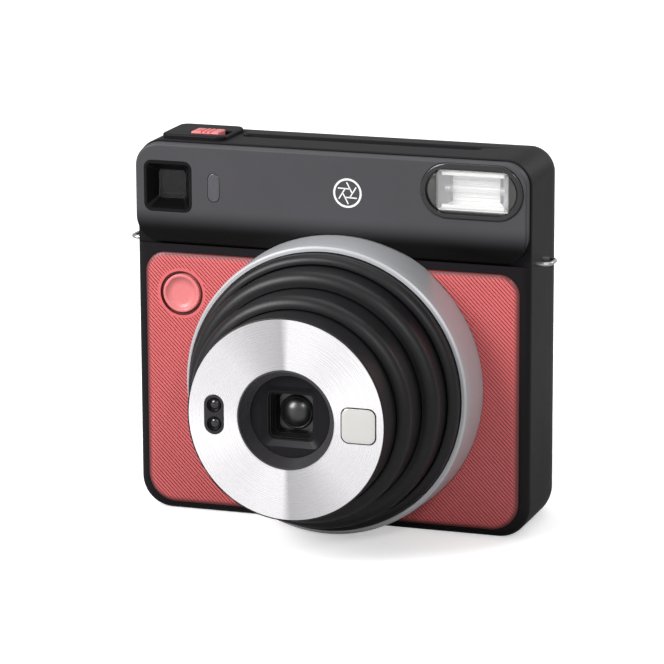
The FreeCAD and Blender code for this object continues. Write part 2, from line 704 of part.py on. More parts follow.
def flash_window():
    front = -FASCIA_PROUD - 0.4
    return centred(FLASH_X, FLASH_Z, LAMP_W - 2 * SEAT, LAMP_H - 2 * SEAT, front, front + 1.2, 1.0)


def flash_reflector():
    """Open trough behind the window, curved about the tube."""
    x0 = FLASH_X - LAMP_W / 2 + 0.4
    x1 = FLASH_X + LAMP_W / 2 - 0.4
    front = -FASCIA_PROUD + 1.0
    half = LAMP_H / 2 - 0.4
    outer = box(x0, x1, front, front + 5.6, FLASH_Z - half, FLASH_Z + half)
    bowl = Part.makeCylinder(1.0, x1 - x0 - 1.2, V(0, 0, 0), V(1, 0, 0))
    squash = FreeCAD.Matrix()
    squash.scale(1, 5.0, half - 0.6)
    bowl = bowl.transformGeometry(squash)
    bowl.translate(V(x0 + 0.6, FACE + front, FLASH_Z))
    return outer.cut(bowl)


def flash_tube():
    x0 = FLASH_X - LAMP_W / 2 + 0.4
    return rod_x(1.3, x0 + 0.6, x0 + LAMP_W - 1.4, 2.2, FLASH_Z)


def timer_lamp():
    front = -FASCIA_PROUD - 0.1
    lamp = centred(PILL_X, PILL_Z, PILL_W, PILL_H, front, FASCIA_BACK, PILL_W / 2 - 0.01)
    return rounded(lamp, 0.3, edges_at(front))


# ---- viewfinder ----
def viewfinder_bezel():
    front = -FASCIA_PROUD - 0.1
    frame = centred(FINDER_X, FINDER_Z, FINDER_W, FINDER_H, front, FASCIA_BACK, FINDER_R)
    neck = centred(FINDER_X, FINDER_Z, FINDER_W - 1.7, FINDER_H - 1.7, FASCIA_BACK, FINDER_GLASS, 1.4)
    funnel = tapered(FINDER_X, FINDER_Z, FINDER_W - 1.6, FINDER_EYE, front, FINDER_GLASS, 1.2)
    return joined(frame, neck).cut(funnel)


def viewfinder_front_lens():
    return centred(FINDER_X, FINDER_Z, FINDER_PANE, FINDER_PANE, FINDER_GLASS,
                   FINDER_GLASS + FINDER_PANE_T, 1.0)


def viewfinder_tunnel():
    front = FINDER_GLASS + FINDER_PANE_T
    tube = centred(FINDER_X, FINDER_Z, FINDER_TUNNEL, FINDER_TUNNEL, front, FINDER_BACK, 1.0)
    return tube.cut(centred(FINDER_X, FINDER_Z, FINDER_EYE, FINDER_EYE, front, FINDER_BACK, 0.5))


def eyepiece_frame():
    tip = BODY_D + EYEPIECE_PROUD
    frame = centred(FINDER_X, FINDER_Z, EYEPIECE_W, EYEPIECE_W, FINDER_BACK, tip, 2.4)
    frame = rounded(frame, 0.5, edges_at(tip))
    return frame.cut(centred(FINDER_X, FINDER_Z, FINDER_EYE, FINDER_EYE, FINDER_BACK, BODY_D + 1, 1.2))


def eyepiece_lens():
    side = FINDER_EYE - 2 * SEAT
    return centred(FINDER_X, FINDER_Z, side, side, BODY_D - 2.4, BODY_D - 1.0, 1.0)


# ---- film path ----
def light_box():
    """Dark chamber, film gate and film chamber as one moulding."""
    gate_front = FILM_DEPTH - 2
    gate_back = FILM_DEPTH - 0.4
    x0 = LENS_X - CHAMBER_W / 2
    x1 = LENS_X + CHAMBER_W / 2
    t = CHAMBER_WALL
    b = BOX_HALF
    dark = box(LENS_X - b, LENS_X + b, WALL + 1.6, gate_front, LENS_Z - b, LENS_Z + b)
    chamber = box(x0 - t, x1 + t, gate_front, CHAMBER_BACK, CHAMBER_BASE - t, CHAMBER_TOP + t)
    inner = b - 2.0
    half = GATE / 2
    cuts = [box(LENS_X - inner, LENS_X + inner, WALL, gate_front, LENS_Z - inner, LENS_Z + inner),
            box(LENS_X - half, LENS_X + half, WALL, FILM_DEPTH, LENS_Z - half, LENS_Z + half),
            box(x0, x1, gate_back, BODY_D, CHAMBER_BASE, CHAMBER_TOP),
            box(x0 + 3, x1 - 3, gate_back, FILM_DEPTH + 2.2, CHAMBER_TOP - 1, CHAMBER_TOP + t + 1)]
    return dark.fuse(chamber).removeSplitter().cut(cuts)


def roller_depth(place):
    """Depth of the axis of the front (-1) or rear (1) roller."""
    return FILM_DEPTH + place * ROLLER_OFF


def roller(place):
    x0 = LENS_X - CHAMBER_W / 2 + 3
    x1 = LENS_X + CHAMBER_W / 2 - 3
    d = roller_depth(place)
    shaft = rod_x(SHAFT_R, x0 - 4, GEAR_X + GEAR_W + 0.6, d, ROLLER_Z)
    return joined(rod_x(ROLLER_R, x0, x1, d, ROLLER_Z), shaft)


def roller_gear(place):
    """The front gear has a tooth and the rear gear a gap on the line between them."""
    turn = 0 if place < 0 else math.pi / GEAR_TEETH
    wheel = gear(GEAR_TEETH, GEAR_X, GEAR_X + GEAR_W, roller_depth(place), ROLLER_Z, turn)
    return wheel.cut(rod_x(SHAFT_R, GEAR_X, GEAR_X + GEAR_W, roller_depth(place), ROLLER_Z))


def motor_pinion():
    wheel = gear(PINION_TEETH, GEAR_X, GEAR_X + GEAR_W, roller_depth(1), PINION_Z, math.pi / 2)
    return joined(wheel, rod_x(0.8, GEAR_X, MOTOR_X + 2, roller_depth(1), PINION_Z))


def feed_motor():
    can = rod_x(MOTOR_R, MOTOR_X, HALF - WALL - 0.6, roller_depth(1), PINION_Z)
    return can.cut(rod_x(0.85, MOTOR_X, MOTOR_X + 2.1, roller_depth(1), PINION_Z))


def roller_frame():
    """Sheet bracket: two end cheeks with bearing holes and a bar in front."""
    x0 = LENS_X - CHAMBER_W / 2
    x1 = LENS_X + CHAMBER_W / 2
    front = roller_depth(-1) - ROLLER_R - 1.6
    rear = roller_depth(1) + ROLLER_R + 1
    low = CHAMBER_TOP + CHAMBER_WALL
    high = BODY_H - WALL - 1.2
    cheeks = [box(x0, x0 + 1.2, front, rear, low, high), box(x1 - 1.2, x1, front, rear, low, high)]
    frame = joined(box(x0, x1, front, front + 0.8, low, high), *cheeks)
    return frame.cut([rod_x(SHAFT_R + 0.05, x0 - 1, x1 + 1, roller_depth(p), ROLLER_Z) for p in (-1, 1)])


def flash_capacitor():
    return rod_z(CAPACITOR_R, 14, 54, HALF - WALL - CAPACITOR_R - 1, SEAM - 1)


# ---- battery compartment ----
def battery_box():
    r = BATTERY_R + 0.2
    d = BATTERY_DEPTH
    top = BATTERY_BASE + 2 * BATTERY_L
    x1 = BATTERY_X + r
    block = box(BATTERY_X - BATTERY_R - 0.6, x1 + 0.8, d - r - 1, d + r + 1, BATTERY_BASE - 1.2, top + 1.2)
    block = block.cut(box(-HALF, x1, d - r, d + r, BATTERY_BASE, top))
    return block.common(envelope(WALL + FIT))


def batteries():
    cells = []
    for i in range(2):
        base = BATTERY_BASE + i * BATTERY_L + 0.2
        body = rod_z(BATTERY_R, base, base + BATTERY_L - 1.4, BATTERY_X, BATTERY_DEPTH)
        nub = rod_z(2.8, base + BATTERY_L - 1.4, base + BATTERY_L - 0.4, BATTERY_X, BATTERY_DEPTH)
        cells.append(joined(rounded(body, 0.6, lambda e: isinstance(e.Curve, Part.Circle)), nub))
    return Part.makeCompound(cells)


def hatch_height():
    return BATTERY_BASE - 3.0, BATTERY_BASE + 2 * BATTERY_L + 3.0


def hatch_axis():
    return -HALF + HATCH_R, HATCH_FRONT


def hatch_opening():
    """Opening in the side wall with a rounded front edge for the knuckle."""
    low, high = hatch_height()
    x, d = hatch_axis()
    flap = box(-HALF - 1, -HALF + 8, d, HATCH_REAR + FIT, low - FIT, high + FIT)
    mouth = box(-HALF - 1, x, d - HATCH_R - FIT, d, low - FIT, high + FIT)
    return flap.fuse([mouth, rod_z(HATCH_R + FIT, low - FIT, high + FIT, x, d)])


def battery_door():
    low, high = hatch_height()
    x, d = hatch_axis()
    skin = envelope(0).cut(envelope(HATCH_T))
    flap = skin.common(box(-HALF - 1, -HALF + 8, d, HATCH_REAR, low, high))
    knuckle = rod_z(HATCH_R, low, high, x, d)
    return joined(flap, knuckle).cut(rod_z(0.6, low, high, x, d))


def battery_door_pin():
    low, high = hatch_height()
    return rod_z(0.55, low - FIT, high + FIT, *hatch_axis())


# ---- film door ----
def film_door():
    panel = plate(DOOR_LEFT, DOOR_RIGHT - HINGE_R, DOOR_BASE, DOOR_TOP, BODY_D - DOOR_T + SEAT, BODY_D, 3.0)
    square_end = box(DOOR_RIGHT - HINGE_R - 8, DOOR_RIGHT - HINGE_R, BODY_D - DOOR_T + SEAT, BODY_D,
                     DOOR_BASE, DOOR_TOP)
    knuckle = rod_z(HINGE_R, DOOR_BASE, DOOR_TOP, DOOR_RIGHT - HINGE_R, BODY_D - HINGE_R)
    bore = rod_z(PIN_R + 0.05, DOOR_BASE, DOOR_TOP, DOOR_RIGHT - HINGE_R, BODY_D - HINGE_R)
    view = centred(*FILM_VIEW, VIEW_W + 2 * SEAT, VIEW_H + 2 * SEAT, 0, BODY_D + 1, VIEW_R)
    return joined(panel, square_end, knuckle).cut([bore, view])


def film_window():
    return centred(*FILM_VIEW, VIEW_W, VIEW_H, BODY_D - DOOR_T + SEAT, BODY_D - 0.4, VIEW_R - SEAT)


def door_hinge_pin():
    return rod_z(PIN_R, DOOR_BASE - 2, DOOR_TOP + 2, DOOR_RIGHT - HINGE_R, BODY_D - HINGE_R)


def pack_springs():
    """Two bowed leaves on the door's inner face that press the film pack forward."""
    leaves = []
    inner = BODY_D - DOOR_T + SEAT
    half = LEAF_W / 2
    for x in (LENS_X - LEAF_X, LENS_X + LEAF_X):
        foot = box(x - half, x + half, inner - LEAF_T, inner, 34, 40)
        leaf = box(x - half, x + half, inner - LEAF_T, inner, 0, LEAF_L)
        leaf.rotate(V(x, FACE + inner, 0), V(1, 0, 0), 5)
        leaf.translate(V(0, 0, 40))
        leaves.append(joined(foot, leaf))
    return Part.makeCompound(leaves)


def latch_block(grow, travel):
    """Block round the thumb latch and the way it slides."""
    wide = LATCH_W / 2 + grow
    return box(LATCH_X - wide, LATCH_X + wide, BACK + 0.6 - grow, BODY_D + LATCH_PROUD,
               LATCH_Z - LATCH_H / 2 - travel - grow, LATCH_Z + LATCH_H / 2 + grow)


def door_latch():
    return rounded(latch_block(0, 0), 0.4, edges_at(BODY_D + LATCH_PROUD))


# ---- rear keys ----
def rear_key(x):
    tip = BODY_D + KEY_PROUD
    cap = rounded(rod_y(KEY_R, BACK - 0.05, tip, x, KEY_Z), 0.3, edges_at(tip))
    return joined(cap, rod_y(KEY_R + 0.9, BACK - 0.85, BACK - 0.05, x, KEY_Z))


def control_board():
    x0 = KEY_XS[0] - 6
    x1 = WINDOW_PLACE[0] + 18
    board = box(x0, x1, BACK - 4.2, BACK - 3.2, KEY_Z - 3.6, KEY_Z + 3.6)
    domes = [rod_y(1.6, BACK - 3.2, BACK - 1.5, x, KEY_Z) for x in KEY_XS]
    return joined(board, *domes)


def mode_window():
    return centred(*WINDOW_PLACE, MODE_W, MODE_H, BACK - 0.8, BODY_D - 0.2, MODE_H / 2 - 0.01)


# ---- power switch ----
def knob_place():
    return SWITCH_X + KNOB_X, SWITCH_FRONT + KNOB_FRONT


def power_switch_plate():
    x, d = knob_place()
    block = switch_block(0, SWITCH_FLOOR, SWITCH_TOP)
    block = rounded(block, 0.6, lambda e: e.BoundBox.ZMin > SWITCH_TOP - 1e-3)
    window = box(x - FIT, x + KNOB_W + KNOB_STROKE + FIT, d - FIT, d + KNOB_D + FIT,
                 SWITCH_FLOOR, SWITCH_TOP + 1)
    pocket = box(x - 3.2 - FIT, x + KNOB_W + KNOB_STROKE + FIT, d - 1.2 - FIT, d + KNOB_D + 1.2 + FIT,
                 SWITCH_FLOOR, SWITCH_FLOOR + 1.0)
    return block.cut([window, pocket])


def power_slider():
    x, d = knob_place()
    knob = box(x, x + KNOB_W, d, d + KNOB_D, SWITCH_FLOOR + 0.05, SWITCH_TOP + 0.6)
    knob = rounded(knob, 0.5, lambda e: e.BoundBox.ZMin > SWITCH_TOP + 0.5)
    flange = box(x - 3.2, x + KNOB_W, d - 1.2, d + KNOB_D + 1.2, SWITCH_FLOOR + 0.05, SWITCH_FLOOR + 0.8)
    return joined(knob, flange)


# ---- fastenings ----
def strap_lug(side):
    """Wire loop whose two legs go through the side wall."""
    y0 = FACE + LUG_DEPTH - LUG_SPAN / 2
    y1 = FACE + LUG_DEPTH + LUG_SPAN / 2
    tip = HALF + LUG_OUT - LUG_WIRE
    bend = 2.4
    s = bend * (1 - math.sqrt(0.5))
    root = HALF - WALL - 0.8
    points = [V(root, y0, LUG_Z), V(tip - bend, y0, LUG_Z), V(tip, y0 + bend, LUG_Z),
              V(tip, y1 - bend, LUG_Z), V(tip - bend, y1, LUG_Z), V(root, y1, LUG_Z)]
    edges = [Part.LineSegment(points[0], points[1]).toShape(),
             Part.Arc(points[1], V(tip - s, y0 + s, LUG_Z), points[2]).toShape(),
             Part.LineSegment(points[2], points[3]).toShape(),
             Part.Arc(points[3], V(tip - s, y1 - s, LUG_Z), points[4]).toShape(),
             Part.LineSegment(points[4], points[5]).toShape()]
    ring = Part.Wire(Part.makeCircle(LUG_WIRE, points[0], V(1, 0, 0)))
    loop = Part.Wire(edges).makePipeShell([ring], True, True)
    return loop if side > 0 else loop.mirror(V(0, 0, 0), V(1, 0, 0))


def tripod_socket():
    sleeve_r = SOCKET_R + SLEEVE
    body = rod_z(sleeve_r, 0, SOCKET_L + 0.8, 0, SOCKET_DEPTH)
    flange = rod_z(sleeve_r + 0.6, WALL, WALL + 1.2, 0, SOCKET_DEPTH)
    return joined(body, flange).cut(rod_z(SOCKET_R, 0, SOCKET_L, 0, SOCKET_DEPTH))


def casing_screws():
    screws = []
    for x, z in screw_places():
        tip = SCREW_HEAD + SCREW_HEAD_T
        head = rod_y(SCREW_HEAD_R, SCREW_HEAD, tip, x, z)
        shank = rod_y(SCREW_R, SCREW_HEAD - SCREW_L, SCREW_HEAD, x, z)
        slot_a = box(x - 1.3, x + 1.3, tip - 0.6, tip, z - 0.3, z + 0.3)
        slot_b = box(x - 0.3, x + 0.3, tip - 0.6, tip, z - 1.3, z + 1.3)
        screws.append(joined(head, shank).cut([slot_a, slot_b]))
    return Part.makeCompound(screws)


def nodes():
    """Every piece by name."""
    return {
        "front_shell": front_shell(), "upper_fascia": upper_fascia(), "rear_cover": rear_cover(),
        "left_grip_panel": grip_panel(-1), "right_grip_panel": grip_panel(1),
        "bezel_ring": bezel_ring(), "bezel_liner": bezel_liner(), "guide_tube": guide_tube(),
        "rear_barrel": rear_barrel(), "middle_barrel": middle_barrel(), "front_barrel": front_barrel(),
        "face_plate": face_plate(), "sensor_window": sensor_window(), "selfie_mirror": selfie_mirror(),
        "lens_hood": lens_hood(), "lens_baffle": lens_baffle(), "front_lens": front_lens(),
        "shutter_unit": shutter_unit(), "rear_lens": rear_lens(),
        "shutter_button": shutter_button(), "shutter_spring": shutter_spring(), "main_board": main_board(),
        "flash_bezel": flash_bezel(), "flash_window": flash_window(),
        "flash_reflector": flash_reflector(), "flash_tube": flash_tube(),
        "flash_capacitor": flash_capacitor(), "timer_lamp": timer_lamp(),
        "viewfinder_bezel": viewfinder_bezel(), "viewfinder_front_lens": viewfinder_front_lens(),
        "viewfinder_tunnel": viewfinder_tunnel(), "eyepiece_frame": eyepiece_frame(),
        "eyepiece_lens": eyepiece_lens(), "light_box": light_box(),
        "front_roller": roller(-1), "rear_roller": roller(1),
        "front_roller_gear": roller_gear(-1), "rear_roller_gear": roller_gear(1),
        "motor_pinion": motor_pinion(), "feed_motor": feed_motor(), "roller_frame": roller_frame(),
        "battery_box": battery_box(), "batteries": batteries(),
        "battery_door": battery_door(), "battery_door_pin": battery_door_pin(),
        "film_door": film_door(), "film_window": film_window(), "door_hinge_pin": door_hinge_pin(),
        "pack_springs": pack_springs(), "door_latch": door_latch(),
        "mode_button": rear_key(KEY_XS[0]), "flash_button": rear_key(KEY_XS[1]),
        "timer_button": rear_key(KEY_XS[2]), "control_board": control_board(), "mode_window": mode_window(),
        "power_switch_plate": power_switch_plate(), "power_slider": power_slider(),
        "strap_lugs": Part.makeCompound([strap_lug(-1), strap_lug(1)]),
        "tripod_socket": tripod_socket(), "casing_screws": casing_screws(),
    }


def main():
    os.makedirs("parts", exist_ok=True)
    for name, shape in nodes().items():
        shape.exportStep("parts/" + name + ".step")
        print(f"{name}: solids {len(shape.Solids)}, valid {shape.isValid()}, volume {shape.Volume:.1f}")


main()
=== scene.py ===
import math

import bmesh
import bpy
from mathutils import Matrix, Vector


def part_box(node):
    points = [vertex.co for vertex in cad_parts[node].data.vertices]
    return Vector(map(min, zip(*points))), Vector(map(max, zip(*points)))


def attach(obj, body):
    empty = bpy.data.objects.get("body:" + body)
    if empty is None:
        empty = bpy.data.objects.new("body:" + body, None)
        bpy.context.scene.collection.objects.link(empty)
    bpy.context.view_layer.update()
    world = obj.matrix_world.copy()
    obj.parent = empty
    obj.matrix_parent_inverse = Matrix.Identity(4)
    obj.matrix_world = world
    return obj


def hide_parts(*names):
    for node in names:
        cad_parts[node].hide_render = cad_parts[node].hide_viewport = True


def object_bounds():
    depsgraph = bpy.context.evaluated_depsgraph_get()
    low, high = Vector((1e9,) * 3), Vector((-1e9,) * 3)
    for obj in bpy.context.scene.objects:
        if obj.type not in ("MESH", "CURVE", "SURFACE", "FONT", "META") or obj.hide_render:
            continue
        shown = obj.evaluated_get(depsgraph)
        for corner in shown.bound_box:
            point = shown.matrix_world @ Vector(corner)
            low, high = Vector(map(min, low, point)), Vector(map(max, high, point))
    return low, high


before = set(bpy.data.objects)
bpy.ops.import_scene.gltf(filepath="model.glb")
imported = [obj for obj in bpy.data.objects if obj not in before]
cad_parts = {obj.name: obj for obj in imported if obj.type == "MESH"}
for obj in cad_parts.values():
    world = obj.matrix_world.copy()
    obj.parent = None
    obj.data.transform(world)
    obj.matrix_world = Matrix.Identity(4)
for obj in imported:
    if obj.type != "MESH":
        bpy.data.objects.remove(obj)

bl_info = {
    "name": "Instant camera finishes",
    "version": (1, 0, 0),
    "blender": (4, 5, 0),
    "location": "3D View > Sidebar > Instant camera",
    "description": "Finishes and fine pieces of a square-format instant camera",
    "category": "Object",
}

CAD_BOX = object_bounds()
MM = 0.001

# Places read from the frame, in metres
RING_LOW, RING_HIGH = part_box("bezel_ring")
LENS = Vector(((RING_LOW.x + RING_HIGH.x) / 2, 0, (RING_LOW.z + RING_HIGH.z) / 2))
FACE_Y = RING_HIGH.y                    # lower front face of the case
RING_R = (RING_HIGH.x - RING_LOW.x) / 2
SHELL_LOW, SHELL_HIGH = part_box("front_shell")
FASCIA_LOW, FASCIA_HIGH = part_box("upper_fascia")
PLATE_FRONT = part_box("face_plate")[0].y
BUTTON_LOW, BUTTON_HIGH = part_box("shutter_button")
BUTTON = (BUTTON_LOW + BUTTON_HIGH) / 2
BUTTON_R = 6.1 * MM
GRIP_PROUD = 0.95 * MM                  # crown of the ribbed panels in front of the face
GRIP_LOW_R, GRIP_HIGH_R = 9.0 * MM, 6.5 * MM    # their outer corners, below and above
ROWS = 176                              # grooves across a panel
COVER_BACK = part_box("rear_cover")[1].y
SIDE_ROLL_W, SIDE_ROLL_D = 14.0 * MM, 18.6 * MM    # how far the case's sides roll in, over what depth
TOP_ROLL_H, TOP_ROLL_D = 8.0 * MM, 22.0 * MM       # and its top
TOP_R, BASE_R = 8.0 * MM, 10.0 * MM     # corner radii of the case
HULL_GAP = 0.04 * MM                    # keeps the rounding off the flat walls
INK = 0.02 * MM                         # half the thickness of printed marks
HULL_STEPS = 24


# ------------------------------------------------------------------ settings
def colour(name, description, default):
    return bpy.props.FloatVectorProperty(name=name, description=description, subtype="COLOR", size=3,
                                         default=default)


def length(name, description, default):
    return bpy.props.FloatProperty(name=name, description=description, subtype="DISTANCE", unit="LENGTH",
                                   default=default)


def turn_angle(name, description, degrees):
    return bpy.props.FloatProperty(name=name, description=description, subtype="ANGLE",
                                   default=math.radians(degrees))


def amount(name, description, default):
    return bpy.props.FloatProperty(name=name, description=description, min=0, default=default)


class BodySettings(bpy.types.PropertyGroup):
    """Colours and grain of the case."""
    shell: colour("Shell", "Colour of the moulded case", (0.0050, 0.0038, 0.0050))
    fascia: colour("Fascia", "Colour of the graphite band", (0.066, 0.064, 0.070))
    grain: length("Grain size", "Size of the case's moulded grain", 0.00035)
    mark: length("Mark size", "Radius of the printed aperture mark", 0.0046)


class GripSettings(bpy.types.PropertyGroup):
    """Ribbed red panels."""
    colour: colour("Red", "Colour of the grips", (0.66, 0.125, 0.130))
    pitch: length("Rib pitch", "Distance from rib to rib", 0.00092)
    groove: length("Groove depth", "Depth of the grooves between ribs", 0.00034)
    roll: length("Edge roll", "Width over which the panel's edge rolls back", 0.0026)


class LensSettings(bpy.types.PropertyGroup):
    """Brushed metal and plastic of the lens."""
    steel: colour("Ring", "Colour of the steel ring", (0.50, 0.505, 0.525))
    plate: colour("Face plate", "Colour of the brushed face plate", (0.91, 0.895, 0.915))
    barrel: colour("Barrels", "Colour of the barrels", (0.0066, 0.0056, 0.0068))
    brushing: amount("Brushing", "Stretch of the highlight on brushed metal, up to 1", 0.85)


class StageSettings(bpy.types.PropertyGroup):
    """Viewpoint and light."""
    azimuth: turn_angle("Azimuth", "Camera's turn to the right of the front", 18.93)
    elevation: turn_angle("Elevation", "Camera's height angle", 13.43)
    roll: turn_angle("Roll", "Camera's turn about its own axis", -0.26)
    distance: length("Distance", "Camera to target", 1.1786)
    focal: amount("Focal length", "Camera's focal length in millimetres", 206.25)
    light: amount("Light", "Strength of every studio light", 1.0)


def settings():
    scene = bpy.context.scene
    return scene.camera_body, scene.camera_grips, scene.camera_lens, scene.camera_stage


# ------------------------------------------------------------------ materials
class Tree:
    """A node tree with short calls to add and link its nodes."""

    def __init__(self, tree):
        self.tree = tree

    def add(self, kind, **values):
        node = self.tree.nodes.new("ShaderNode" + kind)
        for key, value in values.items():
            if hasattr(node, key):
                setattr(node, key, value)
            else:
                node.inputs[key.replace("_", " ")].default_value = value
        return node

    def link(self, source, target):
        self.tree.links.new(source, target)

    def math(self, operation, a, b):
        """A sum on sockets or numbers."""
        node = self.add("Math", operation=operation)
        for socket, value in zip(node.inputs, (a, b)):
            if isinstance(value, (int, float)):
                socket.default_value = value
            else:
                self.link(value, socket)
        return node.outputs[0]

    def scaled(self, colour, factor):
        """A colour or vector times a factor."""
        node = self.vector("SCALE", colour)
        self.link(factor, node.inputs["Scale"])
        return node.outputs["Vector"]

    def vector(self, operation, a, b=None):
        node = self.add("VectorMath", operation=operation)
        self.link(a, node.inputs[0])
        if b:
            self.link(b, node.inputs[1])
        return node

    def ranged(self, value, **limits):
        node = self.add("MapRange", **limits)
        self.link(value, node.inputs["Value"])
        return node.outputs["Result"]


class Nodes(Tree):
    """A material's nodes round its shader."""

    def __init__(self, name, base, rough, metal=0.0, **sockets):
        self.material = bpy.data.materials.new(name)
        self.material.use_nodes = True
        super().__init__(self.material.node_tree)
        self.shader = self.tree.nodes["Principled BSDF"]
        sockets.update(Base_Color=(*base, 1.0), Roughness=rough, Metallic=metal)
        for key, value in sockets.items():
            self.shader.inputs[key.replace("_", " ")].default_value = value

    def feed(self, source, socket):
        self.link(source, self.shader.inputs[socket])

    def coords(self):
        return self.add("TexCoord").outputs["Object"]

    def group(self, tree, **values):
        node = self.add("Group")
        node.node_tree = tree
        for key, value in values.items():
            node.inputs[key].default_value = value
        self.link(self.coords(), node.inputs["Position"])
        return node

    def split(self):
        """The piece's own coordinates, one by one."""
        node = self.add("SeparateXYZ")
        self.link(self.coords(), node.inputs[0])
        return node

    def bump(self, height, strength, distance):
        node = self.add("Bump", Strength=strength, Distance=distance)
        self.link(height, node.inputs["Height"])
        self.feed(node.outputs["Normal"], "Normal")

    def fleck(self, scale, detail, strength, distance):
        """Fine unevenness on a plain finish."""
        noise = self.add("TexNoise", Scale=scale, Detail=detail)
        self.link(self.coords(), noise.inputs["Vector"])
        self.bump(noise.outputs["Fac"], strength, distance)


def group_tree(name, inputs, outputs):
    """An empty shader node group with named inputs and outputs."""
    tree = bpy.data.node_groups.new(name, "ShaderNodeTree")
    for label, kind, default in inputs:
        socket = tree.interface.new_socket(label, in_out="INPUT", socket_type="NodeSocket" + kind)
        if default is not None:
            socket.default_value = default
    for label, kind in outputs:
        tree.interface.new_socket(label, in_out="OUTPUT", socket_type="NodeSocket" + kind)
    return Tree(tree), tree.nodes.new("NodeGroupInput").outputs, tree.nodes.new("NodeGroupOutput").inputs


def moulded_group():
    """Fine moulded grain with a slow drift of colour and roughness."""
    tree, start, end = group_tree(
        "Moulded plastic",
        (("Position", "Vector", None), ("Grain", "Float", 2800.0), ("Colour", "Color", (0.1, 0.1, 0.1, 1)),
         ("Roughness", "Float", 0.4)),
        (("Colour", "Color"), ("Roughness", "Float"), ("Height", "Float")))
    fine = tree.add("TexNoise", Detail=3.0)
    tree.link(start["Position"], fine.inputs["Vector"])
    tree.link(start["Grain"], fine.inputs["Scale"])
    slow = tree.add("TexNoise", Scale=38.0, Detail=4.0)
    tree.link(start["Position"], slow.inputs["Vector"])
    drift = tree.ranged(slow.outputs["Fac"], To_Min=0.90, To_Max=1.10)
    tree.link(tree.scaled(start["Colour"], drift), end["Colour"])
    speck = tree.math("MULTIPLY", fine.outputs["Fac"], 0.16)
    cloud = tree.math("MULTIPLY", slow.outputs["Fac"], 0.08)
    both = tree.math("ADD", speck, cloud)
    centred = tree.math("ADD", both, start["Roughness"])
    tree.link(tree.math("SUBTRACT", centred, 0.12), end["Roughness"])
    tree.link(fine.outputs["Fac"], end["Height"])
    return tree.tree


def turned_group():
    """Concentric brushing about a Y axis through the centre: fine rings in height and roughness."""
    tree, start, end = group_tree(
        "Turned metal",
        (("Position", "Vector", None), ("Centre", "Vector", None), ("Rings", "Float", 5200.0),
         ("Roughness", "Float", 0.3)),
        (("Value", "Float"), ("Roughness", "Float"), ("Height", "Float"), ("Turn", "Float")))
    offset = tree.vector("SUBTRACT", start["Position"], start["Centre"])
    split = tree.add("SeparateXYZ")
    tree.link(offset.outputs["Vector"], split.inputs[0])
    flat = tree.add("CombineXYZ")
    tree.link(split.outputs["X"], flat.inputs["X"])
    tree.link(split.outputs["Z"], flat.inputs["Y"])
    radius = tree.vector("LENGTH", flat.outputs["Vector"])
    angle = tree.math("ARCTAN2", split.outputs["X"], split.outputs["Z"])
    place = tree.add("CombineXYZ")
    tree.link(tree.math("MULTIPLY", radius.outputs["Value"], start["Rings"]), place.inputs["X"])
    tree.link(tree.math("MULTIPLY", angle, 1.4), place.inputs["Y"])
    tree.link(tree.math("MULTIPLY", split.outputs["Y"], start["Rings"]), place.inputs["Z"])
    noise = tree.add("TexNoise", Scale=1.0, Detail=3.0)
    tree.link(place.outputs["Vector"], noise.inputs["Vector"])
    streak = noise.outputs["Fac"]
    tree.link(tree.ranged(streak, To_Min=0.972, To_Max=1.02), end["Value"])
    rough = tree.math("ADD", tree.math("MULTIPLY", streak, 0.12), start["Roughness"])
    tree.link(tree.math("SUBTRACT", rough, 0.06), end["Roughness"])
    tree.link(streak, end["Height"])
    halves = tree.math("ADD", tree.math("DIVIDE", angle, math.pi), 1.0)
    fract = tree.add("Math", operation="FRACT")
    tree.link(halves, fract.inputs[0])
    tree.link(fract.outputs[0], end["Turn"])
    return tree.tree


GROUPS = {}
# Painted highlight and shade on the face plate: (share of a turn about the lens axis, colour factor).
PAINTED_FANS = ((0.015, 1.0), (0.09, 1.0), (0.20, 0.93), (0.50, 0.96), (0.74, 0.86), (0.88, 0.62), (0.985, 0.52),
        (1.0, 0.75))


def group(name, maker):
    if name not in GROUPS:
        GROUPS[name] = maker()
    return GROUPS[name]


def moulded(name, colour, rough, grain=0.00035, strength=0.25, relief=0.00004, shade=None, **sockets):
    """Moulded plastic with grain of a given size; shade gives a factor of painted shade for its colour from
    place to place.
    """
    nodes = Nodes(name, colour, rough, **sockets)
    effect = nodes.group(group("moulded", moulded_group), Grain=1.0 / grain,
                         Colour=(*colour, 1.0), Roughness=rough)
    tone = effect.outputs["Colour"]
    nodes.feed(nodes.scaled(tone, shade(nodes)) if shade else tone, "Base Color")
    nodes.feed(effect.outputs["Roughness"], "Roughness")
    nodes.bump(effect.outputs["Height"], strength, relief)
    return nodes.material


def turned_metal(name, colour, rough, rings=5200.0, strength=0.028, metal=0.45, **sockets):
    """Metal brushed in circles about the lens axis; its fine scratches scatter some light."""
    nodes = Nodes(name, colour, rough, metal, **sockets)
    effect = nodes.group(group("turned", turned_group), Centre=LENS, Rings=rings, Roughness=rough)
    tint = nodes.add("VectorMath", operation="SCALE")
    tint.inputs[0].default_value = colour
    nodes.link(effect.outputs["Value"], tint.inputs["Scale"])
    nodes.feed(tint.outputs["Vector"], "Base Color")
    nodes.feed(effect.outputs["Roughness"], "Roughness")
    nodes.bump(effect.outputs["Height"], strength, 0.00002)
    return nodes, effect, tint


